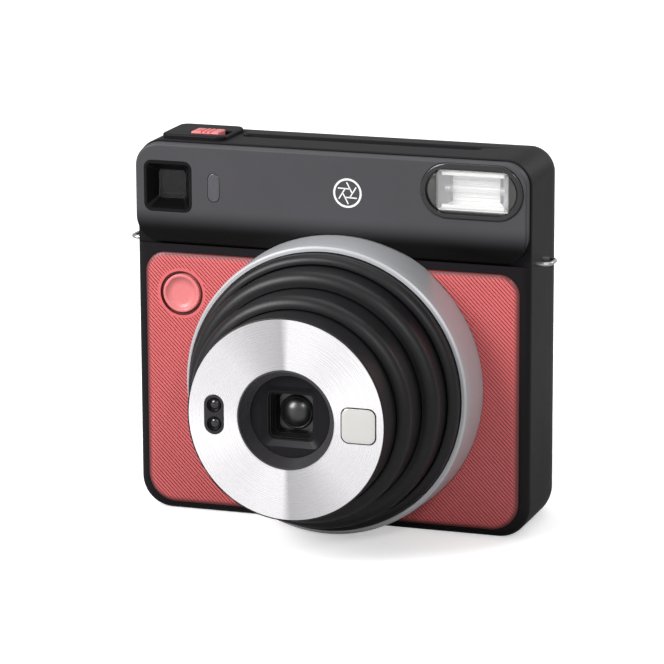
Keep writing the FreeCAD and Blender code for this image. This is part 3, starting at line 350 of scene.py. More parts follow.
def brushed_disc(name, colour, rough, anisotropy):
    """Turned metal with a real stretched highlight from the radial brushing, and painted highlight and shade
    in two opposite fans: its colour is lighter and darker by the turn about the centre.
    """
    nodes, effect, tint = turned_metal(name, colour, rough, Anisotropic=anisotropy)
    # Painted highlight and shade: the colour is lighter and darker in fans about the centre.
    fans = nodes.add("ValToRGB")
    ramp = fans.color_ramp.elements
    ramp[0].color = (0.75, 0.75, 0.75, 1.0)
    ramp[1].color = (PAINTED_FANS[-1][1],) * 3 + (1.0,)
    for place, value in PAINTED_FANS[:-1]:
        ramp.new(place).color = (value, value, value, 1.0)
    nodes.link(effect.outputs["Turn"], fans.inputs["Fac"])
    shade = nodes.vector("MULTIPLY", tint.outputs["Vector"], fans.outputs["Color"])
    nodes.feed(shade.outputs["Vector"], "Base Color")
    tangent = nodes.add("Tangent", direction_type="RADIAL", axis="Y")
    nodes.feed(tangent.outputs["Tangent"], "Tangent")
    return nodes.material


def plain(*look, **sockets):
    """A finish without texture."""
    return Nodes(*look, **sockets).material


def paint(material, *nodes):
    """Give CAD nodes their finish."""
    for node in nodes:
        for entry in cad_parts[node].material_slots:
            entry.material = material


# ------------------------------------------------------------------ mesh work
def clear():
    if bpy.context.mode != "OBJECT":
        bpy.ops.object.mode_set(mode="OBJECT")
    bpy.ops.object.select_all(action="DESELECT")


def active(name=None):
    piece = bpy.context.view_layer.objects.active
    if name:
        piece.name = name
        piece.data.name = name
    return piece


def pick(*pieces):
    clear()
    for piece in pieces:
        piece.select_set(True)
    bpy.context.view_layer.objects.active = pieces[0]
    return pieces[0]


def settle(piece):
    """Put the piece's place, turn and scale into its mesh."""
    pick(piece)
    bpy.ops.object.transform_apply(location=True, rotation=True, scale=True)


def modify(piece, kind, **values):
    """Add a modifier and apply it."""
    pick(piece)
    modifier = piece.modifiers.new(kind.title(), kind)
    for key, value in values.items():
        setattr(modifier, key, value)
    bpy.ops.object.modifier_apply(modifier=modifier.name)


def smooth(piece, degrees=35):
    pick(piece)
    bpy.ops.object.shade_smooth_by_angle(angle=math.radians(degrees))


def tidy_mesh(piece):
    pick(piece)
    bpy.ops.object.mode_set(mode="EDIT")
    bpy.ops.mesh.select_all(action="SELECT")
    bpy.ops.mesh.remove_doubles(threshold=1e-6)
    bpy.ops.mesh.normals_make_consistent(inside=False)
    bpy.ops.object.mode_set(mode="OBJECT")


def choose(piece, test, kind="FACE"):
    """Enter edit mode with only the faces or edges that pass the test selected."""
    pick(piece)
    bpy.ops.object.mode_set(mode="EDIT")
    bpy.ops.mesh.select_mode(type=kind)
    bpy.ops.mesh.select_all(action="DESELECT")
    mesh = bmesh.from_edit_mesh(piece.data)
    for item in mesh.faces if kind == "FACE" else mesh.edges:
        if test(item):
            item.select_set(True)
    bmesh.update_edit_mesh(piece.data)


def done():
    bpy.ops.object.mode_set(mode="OBJECT")


def extrude(depth):
    """Draw the selected faces backwards by a depth."""
    bpy.ops.mesh.extrude_region_move(TRANSFORM_OT_translate={"value": (0, depth, 0)})


def widen(across, up, centre):
    bpy.ops.transform.resize(value=(across, 1, up), center_override=centre)


def soften(piece, test, offset, segments):
    """Bevel the edges that pass the test."""
    choose(piece, test, "EDGE")
    bpy.ops.mesh.bevel(offset=offset, segments=segments)
    done()


def soften_rim(piece, test, offset, segments):
    """Bevel the outline of the faces that pass the test."""
    choose(piece, test)
    bpy.ops.mesh.region_to_loop()
    bpy.ops.mesh.bevel(offset=offset, segments=segments)
    done()


def at_depth(y):
    """Picks the faces whose middle lies at a depth."""
    return lambda face: abs(face.calc_center_median().y - y) < 1e-7


def block(name, low, high):
    """A box between two corners."""
    clear()
    size = Vector(high) - Vector(low)
    bpy.ops.mesh.primitive_cube_add(size=1.0, location=(Vector(low) + Vector(high)) / 2)
    piece = active(name)
    piece.scale = size
    settle(piece)
    return piece


def upright(edge):
    """An edge that runs front to back."""
    a, b = (v.co for v in edge.verts)
    return abs(a.x - b.x) < 1e-7 and abs(a.z - b.z) < 1e-7


def rounded_block(name, low, high, corner, edge=0.0, segments=6):
    """A plate facing forward: corners rounded in front view, front edge softened."""
    piece = block(name, low, high)
    soften(piece, upright, corner, segments)
    if edge:
        soften_rim(piece, at_depth(min(v.co.y for v in piece.data.vertices)), edge, 3)
    return piece


def centred(x, z, half, y0, y1):
    """Two corners of a square block about a place on the front."""
    return (x - half, y0, z - half), (x + half, y1, z + half)


def framed(name, low, high, corner, wall, hole_corner, segments=6):
    """A rounded plate with a rounded hole, its wall the same all round."""
    low, high = Vector(low), Vector(high)
    plate = rounded_block(name, low, high, corner, 0, segments)
    inset = Vector((wall, 0, wall))
    reach = Vector((0, 2 * MM, 0))
    hole = rounded_block("hole", low + inset - reach, high - inset + reach, hole_corner, 0, segments)
    return cut(plate, hole)


def drum(name, radius, y0, y1, x, z, sides=64):
    """A cylinder along Y."""
    clear()
    bpy.ops.mesh.primitive_cylinder_add(vertices=sides, radius=radius, depth=abs(y1 - y0),
                                        location=(x, (y0 + y1) / 2, z),
                                        rotation=(math.pi / 2, 0, 0))
    piece = active(name)
    settle(piece)
    return piece


def spun(name, profile, x, z, steps=96, closed=True):
    """Turn a (radius, y) profile about a Y axis with the spin tool."""
    clear()
    bpy.ops.mesh.primitive_plane_add(size=0.001, location=(0, 0, 0))
    piece = active(name)
    pick(piece)
    bpy.ops.object.mode_set(mode="EDIT")
    bpy.ops.mesh.select_all(action="SELECT")
    bpy.ops.mesh.delete(type="VERT")
    mesh = bmesh.from_edit_mesh(piece.data)
    points = [mesh.verts.new((x + r, y, z)) for r, y in profile]
    pairs = list(zip(points, points[1:] + points[:1])) if closed else list(zip(points, points[1:]))
    for a, b in pairs:
        mesh.edges.new((a, b))
    bmesh.update_edit_mesh(piece.data)
    bpy.ops.mesh.select_all(action="SELECT")
    bpy.ops.mesh.spin(steps=steps, angle=2 * math.pi, center=(x, 0, z), axis=(0, 1, 0))
    bpy.ops.mesh.select_all(action="SELECT")
    bpy.ops.mesh.remove_doubles(threshold=1e-6)
    bpy.ops.mesh.normals_make_consistent(inside=False)
    done()
    return piece


def flat_ring(name, inner, outer, x, y, z, steps):
    """A printed ring, a little above and below the surface."""
    profile = [(inner, y - INK), (outer, y - INK), (outer, y + INK), (inner, y + INK)]
    return spun(name, profile, x, z, steps)


def cut(piece, cutter, operation="DIFFERENCE", solver="EXACT"):
    """Boolean with a cutter that is then removed."""
    modify(piece, "BOOLEAN", object=cutter, operation=operation, solver=solver)
    bpy.data.objects.remove(cutter)
    return piece


def finish(piece, body, material, angle=35):
    """Finish a new piece: smooth it, paint it and let it ride its body."""
    smooth(piece, angle)
    piece.data.materials.clear()
    piece.data.materials.append(material)
    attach(piece, body)
    return piece


def cad_copy(node, name):
    """A merged copy of a CAD node to shape further."""
    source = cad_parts[node]
    piece = bpy.data.objects.new(name, source.data.copy())
    bpy.context.scene.collection.objects.link(piece)
    piece.data.name = name
    piece.data.materials.clear()
    tidy_mesh(piece)
    return piece


# ------------------------------------------------------------------ operators
class CAMERA_OT_case(bpy.types.Operator):
    """Finish the case, fascia and covers"""
    bl_idname = "instant_camera.case"
    bl_label = "Shell and covers"

    def execute(self, context):
        body = settings()[0]
        shell = moulded("Shell plastic", body.shell, 0.50, body.grain, 0.30, Specular_IOR_Level=0.18)
        # The fascia's colour carries painted shade down its rolled lower edge.
        fascia = moulded("Graphite fascia", body.fascia, 0.38, 1 / 4500, 0.12, shade=self.painted_roll_shade,
                         Specular_IOR_Level=0.14)
        paint(shell, "front_shell", "rear_cover", "film_door", "battery_door", "power_switch_plate")
        paint(fascia, "upper_fascia", "door_latch", "mode_button", "flash_button", "timer_button")
        self.rear_corners(shell)
        return {"FINISHED"}

    def rear_corners(self, shell):
        """Rear cover with the corners between its rolled sides, top and base rounded off."""
        cover = cad_copy("rear_cover", "rear_cover_rounded")
        half, top = SHELL_HIGH.x + HULL_GAP, SHELL_HIGH.z + HULL_GAP
        roll_y = COVER_BACK - SIDE_ROLL_D
        hull = block("hull", (-half, SHELL_LOW.y, SHELL_LOW.z - HULL_GAP), (half, roll_y, top))
        for z, radius in ((SHELL_LOW.z - HULL_GAP, BASE_R), (top, TOP_R)):
            soften(hull, lambda e: upright(e) and abs(e.verts[0].co.z - z) < 1e-6, radius, 16)
        choose(hull, lambda f: f.normal.y > 0.9)
        wide, high, y = half, top, roll_y
        for i in range(1, HULL_STEPS + 1):
            turn = math.pi / 2 * i / HULL_STEPS
            deep = roll_y + SIDE_ROLL_D * math.sin(turn)
            across = half - SIDE_ROLL_W * (1 - math.cos(turn))
            share = (deep - COVER_BACK + TOP_ROLL_D) / TOP_ROLL_D
            up = top - TOP_ROLL_H * (1 - math.sqrt(max(1 - share * share, 0)))
            extrude(deep - y)
            widen(across / wide, up / high, (0, 0, 0))
            wide, high, y = across, up, deep
        extrude(MM)
        done()
        tidy_mesh(hull)
        cut(cover, hull, "INTERSECT")
        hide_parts("rear_cover")
        finish(cover, "camera_body", shell, 25)

    def painted_roll_shade(self, nodes):
        """Painted shade: darker down the fascia's rolled lower edge, which faces down, away from the light.
        """
        low = FASCIA_LOW.z
        return nodes.ranged(nodes.split().outputs["Z"], interpolation_type="SMOOTHSTEP",
                            From_Min=low + 4.5 * MM, From_Max=low + 12.5 * MM, To_Min=0.02, To_Max=1.0)


class CAMERA_OT_grips(bpy.types.Operator):
    """Red grip panels with diagonal ribs and rolled edges"""
    bl_idname = "instant_camera.grips"
    bl_label = "Grip panels"

    def execute(self, context):
        grips = settings()[1]
        # The grips' colour carries painted shade in the grooves and darkens towards the base.
        red = moulded("Ribbed red", grips.colour, 0.40, 1 / 3200, 0.1, 0.00002, self.painted_groove_shade,
                      Coat_Weight=0.05)
        for side, node in ((-1, "left_grip_panel"), (1, "right_grip_panel")):
            low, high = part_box(node)
            panel = self.blank(node + "_ribbed", low, high, side, grips)
            ribs = self.grooves(grips)
            if side < 0:
                cut(ribs, drum("collar", BUTTON_R + 1.9 * MM, low.y - 0.01, high.y, BUTTON.x, BUTTON.z))
            cut(panel, ribs, solver="MANIFOLD")
            if side < 0:
                floor = FACE_Y + 0.2 * MM
                cut(panel, drum("well", BUTTON_R + 1.0 * MM, low.y - 0.01, floor, BUTTON.x, BUTTON.z, 96),
                    solver="MANIFOLD")
                cut(panel, drum("way", BUTTON_R + 0.3 * MM, low.y - 0.01, 0.0, BUTTON.x, BUTTON.z, 96),
                    solver="MANIFOLD")
            tidy_mesh(panel)
            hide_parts(node)
            finish(panel, "camera_body", red, 25)
        return {"FINISHED"}

    def blank(self, name, low, high, side, grips):
        """The panel before its ribs: rounded outer corners, rolled front edge, arc round the ring."""
        edge = low.x if side < 0 else high.x
        x0, x1 = sorted((edge, LENS.x))
        panel = block(name, (x0, FACE_Y - grips.roll, low.z), (x1, FACE_Y, high.z))
        for z, radius in ((low.z, GRIP_LOW_R), (high.z, GRIP_HIGH_R)):
            soften(panel, lambda e: upright(e) and abs(e.verts[0].co.z - z) < 1e-6
                   and abs(e.verts[0].co.x - edge) < 1e-6, radius, 14)
        choose(panel, at_depth(FACE_Y - grips.roll))
        bpy.ops.mesh.region_to_loop()
        bpy.ops.mesh.bevel(offset=grips.roll * 0.98, segments=8)
        bpy.ops.mesh.select_all(action="SELECT")
        crown = GRIP_PROUD / grips.roll
        bpy.ops.transform.resize(value=(1, crown, 1), center_override=(0, FACE_Y, 0))
        done()
        choose(panel, at_depth(FACE_Y))
        extrude(1.1 * MM)
        done()
        return cut(panel, drum("ring", RING_R + 0.06 * MM, low.y - 0.01, high.y + 0.01, LENS.x, LENS.z, 160),
                   solver="MANIFOLD")

    def grooves(self, grips):
        """A row of long wedges that cut the grooves between the ribs."""
        clear()
        bpy.ops.mesh.primitive_cube_add(size=1.0, location=(0, 0, 0))
        wedge = active("grooves")
        wedge.scale = (grips.pitch * 0.74, 0.004, 0.2)
        settle(wedge)
        choose(wedge, lambda f: f.normal.y > 0.5)
        bpy.ops.transform.resize(value=(0.30, 1, 1))
        done()
        modify(wedge, "ARRAY", count=ROWS, use_relative_offset=False, use_constant_offset=True,
               constant_offset_displace=(grips.pitch, 0, 0))
        wedge.location = (-(ROWS - 1) / 2 * grips.pitch, 0, 0)
        settle(wedge)
        wedge.rotation_euler = (0, math.radians(-45), 0)
        floor = FACE_Y - GRIP_PROUD + grips.groove
        wedge.location = (LENS.x, floor - 0.002, LENS.z)
        settle(wedge)
        return wedge

    def painted_groove_shade(self, nodes):
        """Painted shade: darker in the grooves between the ribs; also darker towards the base."""
        place = nodes.split().outputs
        crown = FACE_Y - GRIP_PROUD
        # Painted shade: darker the deeper the surface lies in a groove.
        depth = nodes.ranged(place["Y"], From_Min=crown + 0.05 * MM, From_Max=crown + settings()[1].groove,
                             To_Min=1.0, To_Max=0.22)
        fall = nodes.ranged(place["Z"], From_Min=0.0, From_Max=0.085, To_Min=0.86, To_Max=0.97)
        return nodes.math("MULTIPLY", depth, fall)


class CAMERA_OT_controls(bpy.types.Operator):
    """Shutter button and power slider"""
    bl_idname = "instant_camera.controls"
    bl_label = "Button and slider"

    def execute(self, context):
        red = moulded("Smooth red", (0.69, 0.185, 0.187), 0.4, 0.0003, 0.08, Coat_Weight=0.1)
        self.button(red)
        self.slider(red)
        return {"FINISHED"}

    def slider(self, red):
        """Slider knob with three grooves across its top."""
        low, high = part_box("power_slider")
        knob = cad_copy("power_slider", "power_slider_grooved")
        for i in range(3):
            x = high.x - (2.6 + 1.5 * i) * MM
            cut(knob, block("groove", (x - 0.3 * MM, low.y - MM, high.z - 0.4 * MM),
                            (x + 0.3 * MM, high.y + MM, high.z + MM)))
        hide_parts("power_slider")
        finish(knob, "power_slider", red, 25)

    def button(self, red):
        """Button with a shallow dish for the finger."""
        front = BUTTON_LOW.y
        cap = cad_copy("shutter_button", "shutter_button_cap")
        profile = [(0.0, front + 0.12 * MM), (BUTTON_R * 0.45, front + 0.1 * MM),
                   (BUTTON_R - 1.1 * MM, front + 0.02 * MM), (BUTTON_R - 1.0 * MM, front - MM),
                   (0.0, front - MM)]
        cut(cap, spun("dish", profile, BUTTON.x, BUTTON.z, 96, closed=False))
        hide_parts("shutter_button")
        finish(cap, "shutter_button", red, 25)


class CAMERA_OT_lens(bpy.types.Operator):
    """Bezel ring, barrels and brushed face plate"""
    bl_idname = "instant_camera.lens"
    bl_label = "Lens barrels and metal"

    def execute(self, context):
        lens = settings()[2]
        ring = turned_metal("Brushed steel ring", lens.steel, 0.42, 4200.0, 0.06, 0.3)
        paint(ring[0].material, "bezel_ring")
        paint(brushed_disc("Spun face plate", lens.plate, 0.27, lens.brushing), "face_plate")
        black = moulded("Barrel plastic", lens.barrel, 0.42, 0.0003, 0.12, Specular_IOR_Level=0.35)
        paint(black, "bezel_liner", "rear_barrel", "middle_barrel", "front_barrel")
        self.hood()
        return {"FINISHED"}

    def hood(self):
        """Cone with a thin lip and fine steps that kill reflections."""
        low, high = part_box("lens_hood")
        outer = (high.x - low.x) / 2
        throat = outer - 2.65 * MM
        front = low.y
        profile = [(outer, high.y), (outer, front + 0.15 * MM), (outer - 0.15 * MM, front),
                   (outer - 0.45 * MM, front), (outer - 0.55 * MM, front + 0.12 * MM)]
        mouth = outer - 0.6 * MM
        steps = 9
        for i in range(steps):
            following = (i + 1) / steps
            y = front + 0.2 * MM + 4.1 * MM * following
            deeper = mouth - (mouth - throat) * following
            profile += [(mouth - (mouth - throat) * i / steps, y), (deeper + 0.08 * MM, y)]
        profile += [(throat, high.y)]
        hood = spun("lens_hood_stepped", profile, LENS.x, LENS.z, 128)
        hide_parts("lens_hood")
        satin = moulded("Hood plastic", (0.034, 0.032, 0.036), 0.30, 0.0003, 0.06)
        finish(hood, "front_barrel", satin, 20)
        self.funnel(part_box("lens_baffle")[0].y, throat)

    def funnel(self, rear, throat):
        """Square funnel in front of the baffle, its corners cut round by the hood."""
        front = rear - 1.15 * MM
        disc = drum("hood_funnel", throat - 0.1 * MM, front, rear - 0.02 * MM, LENS.x, LENS.z, 96)
        wide, narrow = 9.7 * MM, 7.25 * MM
        taper = block("taper", *centred(LENS.x, LENS.z, wide, front - 0.2 * MM, rear + 0.2 * MM))
        choose(taper, lambda f: f.normal.y > 0.9)
        widen(narrow / wide, narrow / wide, LENS)
        done()
        soften(taper, lambda e: len({round(v.co.y, 6) for v in e.verts}) == 2, 1.6 * MM, 4)
        cut(disc, taper)
        slope = moulded("Funnel plastic", (0.009, 0.008, 0.010), 0.42, 0.0003, 0.06, Specular_IOR_Level=0.15)
        finish(disc, "front_barrel", slope, 20)


class CAMERA_OT_optics(bpy.types.Operator):
    """Taking lens, sensors, mirror and viewfinder glass"""
    bl_idname = "instant_camera.optics"
    bl_label = "Optics"

    def execute(self, context):
        # The front lens is opaque near-black glass: painted shade for the dark seen through it; its coat
        # gives real reflections.
        paint(plain("Bloomed glass", (0.008, 0.008, 0.010), 0.30, IOR=1.62, Coat_Weight=1.0,
                    Coat_Roughness=0.36), "front_lens")
        paint(plain("Coated glass", (0.93, 0.95, 1.0), 0.01, Transmission_Weight=1.0, IOR=1.62,
                    Coat_Weight=0.3), "rear_lens")
        dark = moulded("Blackened plastic", (0.004, 0.004, 0.0045), 0.36, 0.0004, 0.1, Specular_IOR_Level=0.3)
        paint(dark, "lens_baffle", "guide_tube", "light_box", "viewfinder_tunnel", "battery_box",
              "shutter_unit", "eyepiece_frame")
        self.blades()
        self.lens_rings(dark)
        self.baffle_steps(dark)
        self.sensors(dark)
        self.mirror()
        paint(moulded("Viewfinder frame", (0.003, 0.003, 0.003), 0.34, 0.0003, 0.08, Specular_IOR_Level=0.2),
              "viewfinder_bezel")
        # The viewfinder glass is near-black and half see-through: painted shade for the dark inside of the
        # viewfinder.
        paint(plain("Viewfinder glass", (0.006, 0.006, 0.007), 0.03, Coat_Weight=0.6, Alpha=0.45),
              "viewfinder_front_lens", "eyepiece_lens")
        self.finder_mask()
        return {"FINISHED"}

    def blades(self):
        """Closed shutter blades just behind the front element."""
        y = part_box("shutter_unit")[0].y + 1.2 * MM
        steel = plain("Shutter blades", (0.02, 0.02, 0.022), 0.28, 0.6)
        for i in range(2):
            blade = drum(f"shutter_blade_{i + 1}", 3.96 * MM, y, y + 0.1 * MM, LENS.x, LENS.z, 48)
            normal = (-1 if i else 1, 0, 0.35)
            pick(blade)
            bpy.ops.object.mode_set(mode="EDIT")
            bpy.ops.mesh.select_all(action="SELECT")
            bpy.ops.mesh.bisect(plane_co=(LENS.x - (0.2 if i else -0.2) * MM, 0, LENS.z), plane_no=normal,
                                use_fill=True, clear_outer=True)
            done()
            if i:
                blade.location.y = 0.12 * MM
                settle(blade)
            finish(blade, "front_barrel", steel)

    def lens_rings(self, dark):
        """Retaining rings stepped round the front element."""
        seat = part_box("lens_baffle")[1].y
        for i, (r, rise) in enumerate(((5.35, 0.35), (5.05, 0.7))):
            rim = spun(f"lens_ring_{i + 1}", [(r * MM, seat), (r * MM, seat - rise * MM),
                                             ((r - 0.2) * MM, seat - (rise + 0.1) * MM),
                                             ((r - 0.5) * MM, seat - rise * MM), ((r - 0.5) * MM, seat)],
                       LENS.x, LENS.z, 64)
            finish(rim, "front_barrel", dark)

    def baffle_steps(self, dark):
        """Square frames, one inside the other, down the baffle."""
        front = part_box("lens_baffle")[0].y
        for i, (half, depth) in enumerate(((7.0, 0.8), (6.7, 1.9), (6.3, 3.1))):
            y = front + depth * MM - 0.25 * MM
            step = framed(f"baffle_step_{i + 1}", *centred(LENS.x, LENS.z, half * MM, y, y + 0.5 * MM),
                          1.6 * MM, 0.3 * MM, 1.3 * MM)
            finish(step, "front_barrel", dark)

    def sensors(self, dark):
        """Stadium pocket with a light sensor above and a range lamp below."""
        low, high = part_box("sensor_window")
        mid = (low + high) / 2
        r = (high.x - low.x) / 2
        pocket = rounded_block("sensor_pocket", (low.x, low.y - 0.05 * MM, low.z), (high.x, high.y, high.z),
                               r * 0.998, 0.12 * MM, 12)
        eyes = []
        for name, dz in (("light_sensor", 2.9 * MM), ("range_lamp", -2.9 * MM)):
            well = drum("well", 2.35 * MM, low.y - 0.001, high.y - 0.1 * MM, mid.x, mid.z + dz, 40)
            cut(pocket, well)
            y = high.y - 0.1 * MM
            profile = [(0.0, y - 0.62 * MM), (0.5 * MM, y - 0.58 * MM), (1.0 * MM, y - 0.45 * MM),
                       (1.4 * MM, y - 0.22 * MM), (1.5 * MM, y - 0.02 * MM), (0.0, y - 0.02 * MM)]
            eyes.append(spun(name, profile, mid.x, mid.z + dz, 40, closed=False))
            rim = spun(name + "_rim", [(1.62 * MM, y), (1.62 * MM, y - 0.5 * MM), (1.75 * MM, y - 0.55 * MM),
                                       (1.95 * MM, y - 0.4 * MM), (2.1 * MM, y)], mid.x, mid.z + dz, 40)
            finish(rim, "front_barrel", dark)
        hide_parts("sensor_window")
        gloss = plain("Sensor pocket", (0.012, 0.010, 0.012), 0.2, Coat_Weight=0.2)
        finish(pocket, "front_barrel", gloss)
        bead = plain("Sensor bead", (0.018, 0.016, 0.022), 0.10, Coat_Weight=0.5)
        for eye in eyes:
            finish(eye, "front_barrel", bead, 60)

    def mirror(self):
        """Convex selfie mirror."""
        low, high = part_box("selfie_mirror")
        black = plain("Mirror surround", (0.02, 0.02, 0.02), 0.3)
        rim = rounded_block("mirror_surround", (low.x, PLATE_FRONT - 0.04 * MM, low.z), high, 2.5 * MM, 0, 8)
        finish(rim, "front_barrel", black)
        inset = Vector((0.28 * MM, 0, 0.28 * MM))
        glass_ = rounded_block("selfie_mirror_convex", low + inset, high - inset, 2.25 * MM, 0.12 * MM, 8)
        middle = (low + high) / 2
        choose(glass_, at_depth(low.y))
        for share in (0.8, 0.7, 0.5):
            extrude(-0.03 * MM)
            widen(share, share, middle)
        done()
        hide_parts("selfie_mirror")
        silver = plain("Convex mirror", (0.73, 0.72, 0.70), 0.22, 0.5)
        finish(glass_, "front_barrel", silver, 60)

    def finder_mask(self):
        """Square mask inside the viewfinder."""
        low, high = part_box("viewfinder_front_lens")
        mid = (low + high) / 2
        y = high.y + 2.0 * MM
        mask = framed("viewfinder_mask", *centred(mid.x, mid.z, 4.4 * MM, y, y + 0.6 * MM), 0.4 * MM,
                      0.8 * MM, 0.3 * MM)
        gloss = plain("Gloss black", (0.012, 0.012, 0.013), 0.16, Coat_Weight=0.3)
        finish(mask, "camera_body", gloss)


class CAMERA_OT_flash(bpy.types.Operator):
    """Flash window, ribbed reflector and tube"""
    bl_idname = "instant_camera.flash"
    bl_label = "Flash"

    def execute(self, context):
        bezel = plain("Flash bezel", (0.016, 0.016, 0.017), 0.2, Coat_Weight=0.35)
        paint(bezel, "flash_bezel")
        self.lip(bezel)
        self.window()
        self.reflector()
        paint(plain("Flash tube glass", (0.95, 0.95, 0.97), 0.05, Alpha=0.25), "flash_tube")
        self.electrodes()
        paint(plain("Timer lamp", (0.075, 0.070, 0.082), 0.25, Coat_Weight=0.4, Subsurface_Weight=0.2),
              "timer_lamp")
        return {"FINISHED"}

    def lip(self, material):
        """Tinted cover round the window, and two outlines in the bezel."""
        low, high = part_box("flash_bezel")
        wlow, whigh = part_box("flash_window")
        y = low.y + 0.45 * MM
        inset = 2.1 * MM
        height = high.z - low.z - 2 * inset
        ring = rounded_block("flash_bezel_step", (low.x + inset, y, low.z + inset),
                             (high.x - inset, y + 0.55 * MM, high.z - inset), height * 0.4995, 0.2 * MM, 16)
        gap = 0.1 * MM
        cut(ring, block("hole", (wlow.x - gap, y - 2 * MM, wlow.z - gap),
                        (whigh.x + gap, y + 2 * MM, whigh.z + gap)))
        cover = plain("Tinted cover", (0.045, 0.044, 0.04), 0.12, Coat_Weight=1.0)
        finish(ring, "camera_body", cover)
        thin = 0.22 * MM
        for i, (inset, sink) in enumerate(((0.65 * MM, -0.02 * MM), (1.25 * MM, 0.4 * MM))):
            half = (high.z - low.z) / 2 - inset
            line = framed(f"flash_bezel_line_{i + 1}", (low.x + inset, low.y + sink, low.z + inset),
                          (high.x - inset, low.y + sink + 0.5 * MM, high.z - inset), half * 0.999, thin,
                          (half - thin) * 0.999, 20)
            finish(line, "camera_body", material)

    def window(self):
        """Clear pane with bevelled edges and cut corners."""
        low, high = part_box("flash_window")
        pane = block("flash_window_pane", low, (high.x, low.y + 1.2 * MM, high.z))
        soften(pane, upright, 1.3 * MM, 1)
        soften_rim(pane, at_depth(low.y), 0.45 * MM, 1)
        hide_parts("flash_window")
        clear_plastic = plain("Flash window", (0.95, 0.95, 0.96), 0.05, Alpha=0.12)
        finish(pane, "camera_body", clear_plastic, 15)

    def reflector(self):
        """Bright open pyramid with ribs across its flat back."""
        low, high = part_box("flash_reflector")
        mid = (low + high) / 2
        front, back = low.y + 0.1 * MM, high.y - 1.2 * MM
        bowl = block("flash_reflector_bowl", (low.x, front, low.z), (high.x, back, high.z))
        choose(bowl, lambda f: f.normal.y > 0.9)
        widen(0.70, 0.70, mid)
        done()
        choose(bowl, lambda f: f.normal.y < -0.9)
        bpy.ops.mesh.delete(type="FACE")
        done()
        soften(bowl, lambda e: len(e.link_faces) == 2, 0.35 * MM, 2)
        modify(bowl, "SOLIDIFY", thickness=0.2 * MM, offset=1.0)
        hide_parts("flash_reflector")
        nodes = Nodes("Flash reflector", (0.93, 0.93, 0.92), 0.22, 0.30)
        nodes.fleck(900.0, 2.0, 0.10, 0.00005)
        finish(bowl, "camera_body", nodes.material, 12)
        # Painted shade: a darker copy of the reflector metal for its end facets and the creases at the back.
        shade = plain("Reflector ends", (0.34, 0.34, 0.35), 0.2, 0.6)
        bowl.data.materials.append(shade)
        for face in bowl.data.polygons:
            if abs(face.normal.x) > 0.4:
                face.material_index = 1
        half = (high.z - low.z) * 0.35 - 0.6 * MM
        reach = (high.x - low.x) * 0.35 - 0.6 * MM
        for i in range(7):
            z = mid.z + half * (i / 3 - 1)
            rib = block(f"reflector_rib_{i + 1}", (mid.x - reach, back - 0.35 * MM, z - 0.28 * MM),
                        (mid.x + reach, back + 0.1 * MM, z + 0.28 * MM))
            soften(rib, lambda e: e.calc_length() > reach and e.verts[0].co.y < back, 0.25 * MM, 3)
            finish(rib, "camera_body", nodes.material, 30)
        for name, z in (("upper", high.z - 1.0 * MM), ("lower", low.z + 1.0 * MM)):
            bar = block(f"reflector_bar_{name}", (low.x + 1.3 * MM, front - 0.02 * MM, z - 0.65 * MM),
                        (high.x - 1.3 * MM, front + 0.9 * MM, z + 0.65 * MM))
            soften(bar, lambda e: e.calc_length() > reach and e.verts[0].co.y < front, 0.35 * MM, 3)
            finish(bar, "camera_body", nodes.material, 30)
        # Painted shade: dark lines along the creases where the back meets the end facets.
        for name, x in (("left", mid.x - reach - 0.5 * MM), ("right", mid.x + reach + 0.5 * MM)):
            line = block(f"reflector_crease_shade_{name}", (x - 0.18 * MM, back - 0.6 * MM, mid.z - 4.0 * MM),
                         (x + 0.18 * MM, back + 0.1 * MM, mid.z + 4.0 * MM))
            finish(line, "camera_body", shade)

    def electrodes(self):
        """Metal caps on the flash tube."""
        low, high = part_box("flash_tube")
        mid = (low + high) / 2
        r = (high.z - low.z) / 2
        metal = plain("Electrode", (0.55, 0.54, 0.52), 0.25, 1.0)
        for name, x in (("left", low.x + 1.5 * MM), ("right", high.x - 1.5 * MM)):
            clear()
            bpy.ops.mesh.primitive_cylinder_add(vertices=32, radius=r * 0.72, depth=2.4 * MM,
                                                location=(x, mid.y, mid.z), rotation=(0, math.pi / 2, 0))
            cap = active("electrode_" + name)
            settle(cap)
            choose(cap, lambda f: abs(f.normal.x) > 0.9)
            bpy.ops.mesh.inset(thickness=r * 0.25)
            extrude(0)
            done()
            finish(cap, "camera_body", metal)


class CAMERA_OT_mark(bpy.types.Operator):
    """Printed aperture mark on the fascia"""
    bl_idname = "instant_camera.mark"
    bl_label = "Aperture mark"

    def execute(self, context):
        radius = settings()[0].mark
        y = FASCIA_LOW.y
        x = LENS.x + 3.0 * MM
        z = FASCIA_HIGH.z - 12.0 * MM
        ink = Nodes("White ink", (0.82, 0.82, 0.82), 0.45)
        ink.fleck(2500.0, 2.0, 0.1, 0.00001)
        ring = flat_ring("aperture_mark_ring", radius - 0.65 * MM, radius, x, y, z, 64)
        finish(ring, "camera_body", ink.material)
        reach = radius - 0.95 * MM
        for i in range(6):
            blade = block(f"aperture_mark_blade_{i + 1}", (-0.2 * MM, -INK, 0.0),
                          (0.2 * MM, INK, reach * 1.05))
            turn = Matrix.Rotation(math.radians(60 * i), 4, "Y")
            hub = Vector((x, y, z)) + turn @ Vector((reach * 0.42, 0, 0))
            blade.matrix_world = Matrix.Translation(hub) @ turn @ Matrix.Rotation(math.radians(-28), 4, "Y")
            settle(blade)
            finish(blade, "camera_body", ink.material)
        return {"FINISHED"}


